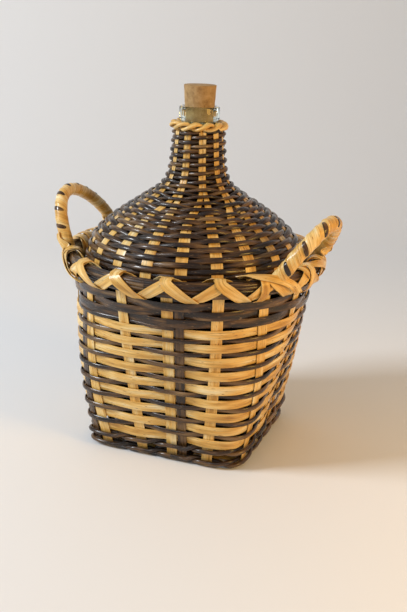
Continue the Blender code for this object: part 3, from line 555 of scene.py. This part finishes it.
def stakeAngle(number, distance):
    # the stakes close up in pairs toward the neck
    pairStep = 4 * pi / cover["stakes"]
    openHalf = pairStep / 4
    closedHalf = (stakeWidth(distance) + cover["pairGap"]) / 2 / coverAt(distance).x
    low, high = distanceAt(cover["pairStart"]), distanceAt(cover["pairClosed"])
    share = smoothStep((distance - low) / (high - low))
    half = openHalf + (closedHalf - openHalf) * share
    side = 1 if number % 2 else -1
    return (radians(cover["phase"]) + openHalf + number // 2 * pairStep
            + radians(cover["drift"]) * share + side * half)


def makeCoverStakes():
    steps = cover["stakeSteps"]
    distances = [coverLength * i / steps for i in range(steps + 1)]
    section = flatSection(1.0, cover["stakeThick"])
    for number in range(cover["stakes"]):
        spots = [coverSurface(d, stakeAngle(number, d))[:2] for d in distances]
        addCane(f"coverStake{number + 1}", lightCane, [f"cover_stake_{number + 1}"], spots, section,
                grain=number * cover["stakeGrain"], sizes=[stakeWidth(d) for d in distances])


def coverBlend(distance, values):
    # a size that differs on the shoulder, below the neck and on the neck
    size = values[0]
    for change, before, after in zip(cover["changes"], values, values[1:]):
        size += (after - before) * smoothStep((distance - change) / cover["changeLength"])
    return size


def makeCoverWeavers():
    # two rods, one stake apart, that pass single stakes low on the shoulder and pairs above
    lift = cover["stakeThick"] / 2 + cover["rodThick"] / 2
    parts = cover["rowParts"]
    # where each part of a row lies on the cover
    places = [0.0]
    while places[-1] < coverLength:
        places.append(places[-1] + coverBlend(places[-1], cover["rowPitches"]) / parts)

    def rowPlace(row):
        part = min(int(row * parts), len(places) - 2)
        return places[part] + (places[part + 1] - places[part]) * (row * parts - part)

    # both rods change over at a whole number of pairs
    switch = 0
    while rowPlace(2 * switch / cover["stakes"]) < distanceAt(cover["pairWoven"]):
        switch += 4
    for weaver in range(2):
        crossings = []
        number = 0
        first = cover["firstRow"] + weaver
        distance = rowPlace(first)
        while distance < coverLength - cover["rowsEnd"]:
            outside = (number // 2 if number >= switch else number) % 2 == weaver
            crossings.append((distance, stakeAngle(number, distance), stakeWidth(distance) / 2,
                              1 if outside else -1))
            number += 1
            sway = swayAt(cover["rowSway"], number, weaver + 8)
            distance = rowPlace(first + 2 * number / cover["stakes"]) + sway
        spots = weavePath(coverSurface, crossings, lift, cover["spacing"])
        sizes = []
        for i, (point, out) in enumerate(spots):
            level = distanceAt(min(point.z, coverLine[-1].y))
            uneven = swayAt(cover["uneven"], i, weaver + 3)
            sizes.append(coverBlend(level, cover["rodHeights"]) * (1 + uneven))
        addCane(f"coverWeaver{weaver + 1}", darkCane, [f"cover_weaver_{weaver + 1}"], spots,
                rodSection(1.0, cover["rodThick"]), tilt=cover["tilt"], seed=weaver + 1,
                grain=weaver * cover["rodGrain"], sizes=sizes)


collar = {
    "radius": 0.0264, "height": 0.3652, "twist": 0.0029, "width": 0.0078, "thick": 0.004, "twists": 6,
    "square": 0.7, "steps": 210, "tilt": 0.5, "seed": 5, "grain": 0.9}


def makeCollar():
    section = flatSection(collar["width"], collar["thick"], collar["square"])
    for number in range(2):
        spots = []
        for i in range(collar["steps"]):
            angle = 2 * pi * i / collar["steps"]
            turn = collar["twists"] * angle + pi * number
            reach = collar["radius"] + collar["twist"] * cos(turn)
            height = collar["height"] + collar["twist"] * sin(turn)
            spots.append((Vector((reach * sin(angle), -reach * cos(angle), height)), up))
        addCane(f"collarStrand{number + 1}", lightCane, [f"neck_collar_{number + 1}"], spots, section,
                closed=True, tilt=collar["tilt"], seed=number + collar["seed"],
                grain=number * collar["grain"])


makeCoverStakes()
makeCoverWeavers()
makeCollar()
print("cover woven")


# Basket wall

# the uprights that have a dark strip beside them, and its side
partnerSide = {0: 1, 7: -1, 14: -1, 9: 1}
partnerStep = (basket["strip"] + basket["darkStrip"]) / 2 + basket["gap"]


def uprightAngle(number):
    return radians(basket["phase"]) + number * 2 * pi / basket["uprights"]


def uprightPlace(number, shift, height):
    # a point on an upright, shifted along the wall, and the way out there
    angle = uprightAngle(number)
    return wallSurface(height, angle + shift / wallPoint(height, angle).xy.length)[:2]


def uprightStrips(number, height):
    # the angle and half width of each strip of an upright, in turn round the wall
    side = partnerSide.get(number % basket["uprights"], 0)
    centre = uprightAngle(number)
    if side == 0:
        return [(centre, basket["strip"] / 2)]
    radius = wallPoint(height, centre).xy.length
    strips = [(centre, basket["strip"] / 2), (centre + side * partnerStep / radius, basket["darkStrip"] / 2)]
    return strips[::side]


def rowHeight(turns):
    # the rows of the spiral lie closer together toward the rim
    return basket["weaveStart"] + basket["pitch"] * turns - basket["pitchEase"] * turns ** 2


# height: of the section at the top of the wall; grow: how much more it has at the foot;
# offset: rows by which the spiral starts higher; parity: of the uprights that it passes outside
lightWeaver = {
    "name": "lightWeaver", "node": "light_weaver", "offset": 0.0, "parity": 1, "shape": flatSection,
    "height": 0.0098, "grow": 0.0016, "thick": 0.0014, "clear": 0.0003, "seed": 3.0}
darkWeaver = {
    "name": "darkWeaver", "node": "dark_weaver", "offset": 0.5, "parity": 0, "shape": rodSection,
    "height": 0.0052, "grow": 0.001, "thick": 0.0026, "clear": 0.0002, "seed": 41.0}
weaverSway = {"row": (0.0005, 0.7), "size": (0.08, 0.05), "tilt": 0.12}


def weaverLift(weaver):
    return basket["thick"] / 2 + weaver["thick"] / 2 + weaver["clear"]


def makeBasketWeaver(weaver, look):
    # the last length is cut to a taper that ends under the bands
    height, seed, top = weaver["height"], weaver["seed"], basket["weaveTop"] - basket["gap"]
    crossings = []
    number = basket["startUpright"]
    row = rowHeight(weaver["offset"])
    while top - row + height / 2 > basket["taperEnd"]:
        side = 1 if number % 2 == weaver["parity"] else -1
        level = min(row, (row - height / 2 + top) / 2)
        sway = swayAt(weaverSway["row"], number, seed)
        crossings += [(level + sway, angle, half, side) for angle, half in uprightStrips(number, level)]
        number += 1
        row = rowHeight(weaver["offset"] + (number - basket["startUpright"]) / basket["uprights"])
    spots = weavePath(wallSurface, crossings, weaverLift(weaver), basket["spacing"])
    sizes = []
    for i, (point, out) in enumerate(spots):
        share = 1.0 - point.z / basket["weaveTop"]
        size = 1.0 + weaver["grow"] / height * share + swayAt(weaverSway["size"], i, seed)
        sizes.append(min(size, 2 * (basket["weaveTop"] - point.z) / height))
    addCane(weaver["name"], look, [weaver["node"] + "_1", weaver["node"] + "_2"], spots,
            weaver["shape"](height, weaver["thick"]), tilt=weaverSway["tilt"], seed=seed, grain=seed,
            sizes=sizes)


topBands = {"count": 3, "width": 0.0098, "thick": 0.002, "square": 0.6, "tilt": 0.2, "seed": 11, "grain": 3.3}


def makeTopBands():
    section = flatSection(topBands["width"], topBands["thick"], topBands["square"])
    for i in range(topBands["count"]):
        low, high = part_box(f"dark_top_band_{i + 1}")
        row = (low.z + high.z) / 2
        crossings = []
        for number in range(basket["uprights"] + 1):
            side = 1 if number % 2 == i % 2 else -1
            crossings += [(row, angle, half, side) for angle, half in uprightStrips(number, row)]
        # the last upright is the first one again, and only its first strip closes the ring
        crossings = crossings[:len(crossings) - len(uprightStrips(0, row)) + 1]
        spots = weavePath(wallSurface, crossings, weaverLift(darkWeaver), basket["spacing"])
        addCane(f"darkTopBand{i + 1}", darkCane, [f"dark_top_band_{i + 1}"], spots, section,
                closed=True, tilt=topBands["tilt"], seed=i + topBands["seed"], grain=i * topBands["grain"])


# the ends of a splint are the uprights that it bends up into
splints = {
    "foot": 0.0046, "top": 0.219, "low": 0.0006, "raised": 0.0021, "bend": 0.0042, "wallSteps": 29,
    "baseSteps": 39, "sway": 0.0004, "swayRate": 20, "longGrain": 5.1, "crossGrain": (4.3, 2),
    "longEnds": ((14, 9), (15, 8), (0, 7), (1, 6)), "crossEnds": ((2, 13), (3, 12), (4, 11), (5, 10)),
    "runner": 0.083, "runnerWidth": 0.0116, "runnerSteps": 12}


def baseLine(ends, shift):
    return [uprightPlace(number, shift * sign, splints["foot"])[0].xy for number, sign in zip(ends, (1, -1))]


def meetingPlace(line, other):
    # how far along one base line another one crosses it
    (a, b), (c, d) = line, other
    run, cut = b - a, d - c
    return ((c.x - a.x) * cut.y - (c.y - a.y) * cut.x) / (run.x * cut.y - run.y * cut.x) * run.length


def splintWall(number, shift, seed):
    # the part of a splint that stands in the wall
    spots = []
    for k in range(splints["wallSteps"] + 1):
        height = splints["foot"] + (splints["top"] - splints["foot"]) * k / splints["wallSteps"]
        point, out = uprightPlace(number, shift, height)
        sway = wander(height * splints["swayRate"], number + seed)
        spots.append((point + out * splints["sway"] * sway, out))
    return spots


def makeSplint(name, node, ends, shift, width, stations, look, seed):
    # stations: (place, raised) of what the splint meets on the base, in turn
    start, finish = baseLine(ends, shift)
    along = (finish - start).normalized().to_3d()
    length = (finish - start).length
    marks = [(0.0, stations[0][1])] + stations + [(length, stations[-1][1])]
    spots = splintWall(ends[0], shift, seed)[::-1]
    for k in range(splints["baseSteps"] + 1):
        place = splints["bend"] + (length - 2 * splints["bend"]) * k / splints["baseSteps"]
        before, after = next(pair for pair in zip(marks, marks[1:]) if place <= pair[1][0])
        share = smoothStep((place - before[0]) / (after[0] - before[0]))
        raised = before[1] + (after[1] - before[1]) * share
        level = splints["low"] + (splints["raised"] - splints["low"]) * raised
        spots.append((start.to_3d() + along * place + up * level, -up))
    spots += splintWall(ends[1], -shift, seed)
    addCane(name, look, [node], spots, flatSection(width, basket["thick"]), grain=seed)


def makeSplints():
    longLines = [baseLine(ends, 0.0) for ends in splints["longEnds"]]
    crossLines = [baseLine(ends, 0.0) for ends in splints["crossEnds"]]
    reach = splints["runner"]
    runner = [Vector((-reach, 0.0)), Vector((reach, 0.0))]
    partners = []
    for i, ends in enumerate(splints["longEnds"]):
        side = partnerSide.get(ends[0], 0)
        strips = [(f"longSplint{i + 1}", f"long_splint_{i + 1}", 0.0, basket["strip"], lightCane)]
        if side:
            partners.append((i, baseLine(ends, side * partnerStep)))
            number = str(len(partners))
            strips.append(("darkSplint" + number, "dark_splint_" + number, side * partnerStep,
                           basket["darkStrip"], darkCane))
        for name, node, shift, width, look in strips:
            line = baseLine(ends, shift)
            stations = [(meetingPlace(line, other), (i + j) % 2 == 0)
                        for j, other in enumerate(crossLines)]
            stations.append((meetingPlace(line, runner), True))
            makeSplint(name, node, ends, shift, width, sorted(stations), look,
                       i * splints["longGrain"] + shift)
    step, first = splints["crossGrain"]
    for j, ends in enumerate(splints["crossEnds"]):
        stations = [(meetingPlace(crossLines[j], other), (i + j) % 2 == 1)
                    for i, other in list(enumerate(longLines)) + partners]
        makeSplint(f"crossSplint{j + 1}", f"cross_splint_{j + 1}", ends, 0.0, basket["strip"],
                   sorted(stations), lightCane, j * step + first)
    steps = splints["runnerSteps"]
    spots = [(Vector((-reach + 2 * reach * k / steps, 0.0, splints["low"])), -up) for k in range(steps + 1)]
    addCane("baseRunner", darkCane, ["base_runner"], spots,
            flatSection(splints["runnerWidth"], basket["thick"]))


# the first pair lies at middle; the second one lies below the first light row, where that is over clear
footRods = {
    "middle": 0.0066, "radius": 0.0023, "off": 0.0003, "below": 0.0097, "clear": 0.0158, "steps": 12,
    "partnerSteps": 3, "wait": 0.2, "swap": 0.6, "height": 2.2, "tilt": 0.3, "grain": 2.2}


def makeTwinedRods(first, levels, closed):
    # two rods twined round the uprights; levels gives the number and height of each upright
    lift = basket["thick"] / 2 + footRods["radius"] + footRods["off"]
    section = rodSection(footRods["height"] * footRods["radius"], 2 * footRods["radius"])
    for rod in range(2):
        spots = []
        for place, (number, level) in enumerate(levels):
            side = 1 if number % 2 == rod else -1
            after = levels[(place + 1) % len(levels)][1]
            strips = uprightStrips(number, level)
            for k in range(len(strips)):
                crosses = k + 1 == len(strips)
                if crosses and not closed and place + 1 == len(levels):
                    break
                angle = strips[k][0]
                following = uprightStrips(number + 1, after)[0] if crosses else strips[k + 1]
                steps = footRods["steps"] if crosses else footRods["partnerSteps"]
                for i in range(steps):
                    t = i / steps
                    ease = smoothStep((t - footRods["wait"]) / footRods["swap"]) if crosses else 0.0
                    row = level + (after - level) * t if crosses else level
                    point, out, upward = wallSurface(row, angle + (following[0] - angle) * t)
                    rise = footRods["radius"] * side * sin(pi * ease)
                    spots.append((point + out * lift * side * (1 - 2 * ease) + upward * rise, out))
        number = first + rod
        addCane(f"footRod{number}", darkCane, [f"foot_rod_{number}"], spots, section, closed=closed,
                tilt=footRods["tilt"], seed=number, grain=number * footRods["grain"])


def makeFootRods():
    uprights = basket["uprights"]
    makeTwinedRods(1, [(number, footRods["middle"]) for number in range(uprights)], True)
    levels = [(basket["startUpright"] + k, rowHeight(k / uprights) - footRods["below"])
              for k in range(uprights)]
    makeTwinedRods(3, [level for level in levels if level[1] > footRods["clear"]], False)


makeBasketWeaver(lightWeaver, lightCane)
makeBasketWeaver(darkWeaver, darkCane)
makeTopBands()
makeSplints()
makeFootRods()
print("basket woven")


# Rim: a bundle of split rods, lashed with cane

# hoops: name, node and where the rods lie round the section, where 0 is outside and 90 is on top
rim = {
    "across": 0.0065, "rise": 0.0088, "roundness": 0.85, "rod": 0.005, "rodThick": 0.0034, "rodPoints": 8,
    "hoops": (("rimOuterRods", "rim_outer_hoop", (-68, -34, 0, 34, 66)),
        ("rimInnerRods", "rim_inner_hoop", (112, 146, 180, 214, 248))), "steps": 200, "sway": 4,
    "slowSway": 3.0, "swayShift": 7.0, "fastSway": 9.0, "tilt": 0.3, "grain": 4.7}


def rimSpot(angle, turn, lift):
    # a point round the rim's section, and the way out there
    middle, out, upward = wallSurface(basket["rimMiddle"], angle)
    c, s = cos(turn), sin(turn)
    across = (rim["across"] + lift) * signedPower(c, rim["roundness"])
    rise = (rim["rise"] + lift) * signedPower(s, rim["roundness"])
    return middle + out * across + upward * rise, (out * c + upward * s).normalized()


def makeRimRods():
    section = rodSection(rim["rod"], rim["rodThick"], rim["rodPoints"])
    for name, node, turns in rim["hoops"]:
        bm = bmesh.new()
        for number, degrees in enumerate(turns):
            spots = []
            for i in range(rim["steps"]):
                angle = 2 * pi * i / rim["steps"]
                sway = (wander(rim["slowSway"] * sin(angle) + rim["swayShift"], degrees)
                        + wander(rim["fastSway"] * cos(angle), degrees + 3))
                spots.append(rimSpot(angle, radians(degrees + rim["sway"] * sway), -rim["rodThick"] / 2))
            addStrand(bm, spots, section, closed=True, tilt=rim["tilt"], seed=degrees,
                      grain=number * rim["grain"])
        addPiece(name, bm, darkCane, [node])


lashing = {
    "width": 0.0122, "thick": 0.0011, "clear": 0.0016, "strandStep": 0.0016, "steps": 24, "ease": 0.1,
    "sway": (0.03, 1.9), "tilt": 0.1, "grain": 6.1}


def makeLashing():
    # two strands wind the rim in opposite directions and cross on top of each upright
    pitch = 2 * pi / basket["uprights"]
    section = flatSection(lashing["width"], lashing["thick"])
    for number, direction in ((1, -1), (2, 1)):
        lift = lashing["clear"] + lashing["thick"] / 2 + (number - 1) * lashing["strandStep"]
        spots = []
        for i in range(basket["uprights"] * lashing["steps"]):
            share = i / lashing["steps"]
            advance = share - lashing["ease"] * sin(4 * pi * share)
            advance += swayAt(lashing["sway"], share, number)
            angle = radians(basket["phase"]) + pitch * advance
            spots.append(rimSpot(angle, pi / 2 - direction * 2 * pi * share, lift))
        addCane(f"rimLashing{number}", lightCane, [f"rim_lashing_{number}"], spots, section,
                closed=True, tilt=lashing["tilt"], seed=number, grain=number * lashing["grain"])


makeRimRods()
makeLashing()
print("rim made")


# Handles: a bent rod wrapped with two light strips and a dark one

# rooted: how deep the rod's ends reach into the rim; wraps: how high each light strip lies
handle = {
    "rod": 0.0052, "footRise": 0.0148, "flare": 0.004, "loopSteps": 120, "rooted": (0.0148, 0.01, 0.004),
    "thick": 0.001, "steps": 24, "below": 12, "lap": 1.12, "tuck": 0.3, "wraps": (0.0012, 0.0014),
    "wrapGrain": 2.9, "mark": 0.005, "markHalf": 75.0, "markStart": 0.6, "markLow": 0.0002,
    "markRise": 0.0018, "markEdge": 2.0, "markNarrow": 0.25, "markGrain": 7.7}
# feet: angles round the basket; markTurn: where the dark strip shows; binding: first and last angle
# and the number of turns; ties: sideways starts, middles and ends of the strips that run from each
# foot down the rim; strips: (angle round the basket, turn round the rim) of those tied over the rim
handleSides = {
    "right": {"feet": (59.8, 109.4), "top": 0.274, "lean": 35.0, "skew": -0.45, "grow": 1.12,
              "pitch": 0.0265, "markTurn": -75.0, "binding": (123.0, 141.0, 3),
              "ties": ((), ((-0.004, -0.01, -0.014), (0.004, 0.008, 0.01))),
              "strips": (((41, 150), (44, 112), (48, 84), (54, 62), (60, 34), (65, 4), (70, -36)),
                         ((50, 118), (50, 80), (50, 40), (50, 0), (49, -40), (48, -72)),
                         ((80, 130), (80, 90), (79, 50), (78, 10), (77, -30), (76, -66)),
                         ((77, 112), (83, 84), (92, 50), (101, 10), (108, -30)))},
    "left": {"feet": (-112.8, -65.3), "top": 0.2785, "lean": 20.5, "skew": 0.33, "grow": 1.0,
             "pitch": 0.019, "markTurn": -85.0, "binding": (-107.0, -76.0, 4),
             "ties": (((-0.004, -0.008, -0.012), (0.004, 0.008, 0.012)),
                      ((-0.0065, -0.01, -0.013), (0.0, -0.001, 0.004), (0.0055, 0.008, 0.015))),
             "strips": (((-74, 100), (-69, 62), (-62, 24), (-54, -10), (-46, -44), (-40, -80)),
                        ((-57, 128), (-58, 92), (-60, 50), (-61, 10), (-58, -30), (-52, -66)))}}


def handleLoop(values):
    # the loop above the rim at equal steps, the direction through it, and the angles of its feet
    angles = [radians(foot) for foot in values["feet"]]
    height = basket["rimMiddle"] + handle["footRise"]
    feet = [wallPoint(height, a) + Vector((sin(a), -cos(a), 0.0)) * handle["flare"] for a in angles]
    lean = radians(values["lean"])
    middle = (feet[0] + feet[1]) / 2
    along = (feet[1] - feet[0]).normalized()
    rise = up * cos(lean) + along.cross(up) * sin(lean)
    half = (feet[1] - feet[0]).length / 2
    climb = (values["top"] - height) / cos(lean)
    points = []
    for i in range(handle["loopSteps"] + 1):
        turn = pi * i / handle["loopSteps"]
        skewed = 1 - values["skew"] * cos(turn)
        points.append(middle - along * half * cos(turn) + rise * climb * sin(turn) * skewed)
    return points, along.cross(rise).normalized(), angles


# high, low: where a tie leaves the handle; off, puff: how far it lies off the rod there; turns: its
# way down the rim; layer, stripStep: how much lower each further strip lies
ties = {
    "width": 0.0098, "thick": 0.0011, "lift": 0.0052, "high": 0.0125, "low": 0.005, "off": 0.0022,
    "puff": 0.0012, "steps": 6, "turns": (62, 34, 6, -22, -50, -74), "layer": 0.0004, "grain": 1.9,
    "firstGrains": (1.3, 4.6), "stripLift": 0.006, "stripStep": 0.0011, "stripGrain": 2.3,
    "bindingWidth": 0.012, "bindingOff": 0.0006, "bindingSteps": 28}


def addTied(bm, marks, grain):
    # a strip through (point, way out) marks
    points, normals = zip(*marks)
    spots = list(zip(roundedLine(points, ties["steps"]), roundedLine(normals, ties["steps"])))
    addStrand(bm, spots, flatSection(ties["width"], ties["thick"]), grain=grain)


def addTies(bm, strips, foot, rodSpot, grain):
    # strips that start on the handle, spread over its foot and run down the outside of the rim
    radius = wallPoint(basket["rimMiddle"], foot).xy.length
    size = handle["rod"] + ties["off"]
    for number, (start, middle, end) in enumerate(strips):
        marks = [rodSpot(ties["high"], start / size, size),
                 rodSpot(ties["low"], (start + middle) / 2 / size, size + ties["puff"])]
        for k, turn in enumerate(ties["turns"]):
            sideways = middle + (end - middle) * k / (len(ties["turns"]) - 1)
            marks.append(rimSpot(foot + sideways / radius, radians(turn),
                                 ties["lift"] - ties["layer"] * number))
        addTied(bm, marks, grain + number * ties["grain"])


def addBinding(bm, first, last, turns):
    # a strip wound round the rim beside a handle
    spots = []
    for i in range(turns * ties["bindingSteps"] + 1):
        share = i / (turns * ties["bindingSteps"])
        angle = radians(first + (last - first) * share)
        spots.append(rimSpot(angle, 2 * pi * turns * share - pi / 2, ties["lift"] + ties["bindingOff"]))
    addStrand(bm, spots, flatSection(ties["bindingWidth"], ties["thick"]), grain=first)


def makeHandle(side):
    values = handleSides[side]
    points, through, angles = handleLoop(values)
    ends = [[rimSpot(a, pi / 2, -depth)[0] for depth in handle["rooted"]] for a in angles]
    size = 2 * handle["rod"]
    spots = [(point, through) for point in ends[0] + points + ends[1][::-1]]
    addCane("handleRod" + side.capitalize(), lightCane, ["handle_core_" + side], spots,
            flatSection(size, size, 1.0))
    reach = walkLengths(points)
    last = len(points) - 1
    heads = [(points[min(i + 1, last)] - points[max(i - 1, 0)]).normalized() for i in range(last + 1)]

    def rodSpot(length, turn, radius):
        # a spot on the rod: its length from the first foot, and the turn round the rod
        i = min(max(k for k in range(last) if reach[k] <= max(length, 0.0)), last - 1)
        share = (length - reach[i]) / (reach[i + 1] - reach[i])
        ahead = heads[i].lerp(heads[i + 1], share).normalized()
        normal = through * cos(turn) + ahead.cross(through) * sin(turn)
        return points[i].lerp(points[i + 1], share) + normal * radius, normal

    def rodSpotBack(length, turn, radius):
        return rodSpot(reach[-1] - length, -turn, radius)

    pitch, grow, steps = values["pitch"], values["grow"], handle["steps"]
    stations = range(-handle["below"], int(reach[-1] / pitch * steps) + handle["below"])
    width = handle["lap"] * pitch / 2
    shifts = (0.0, width - handle["tuck"] * (2 * width - pitch))
    wrap = bmesh.new()
    for number, (shift, lift) in enumerate(zip(shifts, handle["wraps"])):
        spots = [rodSpot(pitch * i / steps, 2 * pi * (shift / pitch - i / steps),
                         (handle["rod"] + lift) * grow) for i in stations]
        addStrand(wrap, spots, flatSection(width, handle["thick"]), grain=number * handle["wrapGrain"])
    for strips, foot, spot, grain in zip(values["ties"], angles, (rodSpot, rodSpotBack), ties["firstGrains"]):
        addTies(wrap, strips, foot, spot, grain)
    for number, marks in enumerate(values["strips"]):
        lift = ties["stripLift"] - ties["stripStep"] * (number % 2)
        addTied(wrap, [rimSpot(radians(angle), radians(turn), lift) for angle, turn in marks],
                number * ties["stripGrain"])
    addBinding(wrap, *values["binding"])
    addPiece("handleWrap" + side.capitalize(), wrap, lightCane, ["handle_wrap_" + side])
    # the dark strip shows as a short mark on one side and runs under the light ones elsewhere
    half, centre = radians(handle["markHalf"]), radians(values["markTurn"])
    spots, sizes = [], []
    for i in stations:
        turn = handle["markStart"] - 2 * pi * i / steps
        away = (turn - centre + pi) % (2 * pi) - pi
        share = max(cos(away / half * pi / 2), 0.0) if abs(away) < half else 0.0
        lift = handle["markLow"] + handle["markRise"] * min(share * handle["markEdge"], 1.0)
        spots.append(rodSpot(pitch * i / steps, turn, (handle["rod"] + lift) * grow))
        sizes.append(handle["mark"] * grow * (handle["markNarrow"] + (1 - handle["markNarrow"]) * share))
    addCane("handleStrip" + side.capitalize(), darkCane, ["handle_strip_" + side], spots,
            flatSection(1.0, handle["thick"]), grain=handle["markGrain"], sizes=sizes)


makeHandle("right")
makeHandle("left")
print("handles made")


# Floor and light

# room, wall: strength and colour of the light all round and of what the camera sees past the floor
studio = {
    "floorSize": 6.0, "floorGrid": (4, 120), "bendStart": 0.9, "bend": 0.8, "floor": (0.82, 0.81, 0.8),
    "floorRoughness": 0.9, "aim": (0.0, 0.0, 0.18), "room": (0.36, (0.86, 0.87, 0.9)),
    "wall": (1.0, (0.8, 0.775, 0.76))}
lamps = {
    "windowLight": {"place": (-1.75, -1.15, 1.5), "power": 54.0, "size": 0.7, "colour": (0.9, 0.95, 1.0)},
    "roomLight": {"place": (1.1, -0.3, 0.6), "power": 8.0, "size": 0.4, "colour": (1.0, 0.58, 0.12)}}


def makeFloor():
    # a floor that bends up into a backdrop behind the object, as the camera sees it
    bm = bmesh.new()
    across, along = studio["floorGrid"]
    bmesh.ops.create_grid(bm, x_segments=across, y_segments=along, size=studio["floorSize"])
    turn = Matrix.Rotation(radians(cameraView["azimuth"]), 3, "Z")
    bend = studio["bend"]
    for vert in bm.verts:
        past = max(vert.co.y - studio["bendStart"], 0.0)
        curve = min(past / bend, pi / 2)
        rise = max(past - bend * pi / 2, 0.0)
        level = vert.co.y - past + bend * sin(curve)
        vert.co = turn @ Vector((vert.co.x, level, bend * (1 - cos(curve)) + rise))
    material, tree = newMaterial("paleFloor")
    addSurface(tree, {"Roughness": studio["floorRoughness"], "Base Color": (*studio["floor"], 1.0)})
    floor = addMesh("floor", bm, material)


def makeLamps():
    for name, values in lamps.items():
        lamp = bpy.data.lights.new(name, "AREA")
        lamp.energy = values["power"]
        lamp.size = values["size"]
        lamp.color = values["colour"]
        thing = addObject(name, lamp)
        thing.location = values["place"]
        aim = Vector(studio["aim"]) - Vector(values["place"])
        thing.rotation_euler = aim.to_track_quat("-Z", "Y").to_euler()


def makeWorld():
    world = bpy.data.worlds.new("room")
    scene.world = world
    world.use_nodes = True
    tree = world.node_tree
    tree.nodes.clear()
    rays = tree.nodes.new("ShaderNodeLightPath").outputs
    seen = addNode(tree, "ShaderNodeMath", {0: rays["Is Camera Ray"], 1: rays["Is Transmission Ray"]},
                   operation="MAXIMUM")
    light, wall = [addNode(tree, "ShaderNodeBackground",
                           {"Strength": strength, "Color": (*colour, 1.0)}).outputs[0]
                   for strength, colour in (studio["room"], studio["wall"])]
    mixed = addNode(tree, "ShaderNodeMixShader", {0: seen.outputs[0], 1: light, 2: wall})
    addNode(tree, "ShaderNodeOutputWorld", {"Surface": mixed.outputs[0]})


makeFloor()
makeLamps()
makeWorld()
scene.view_settings.view_transform = "Standard"
print("floor and lights placed")
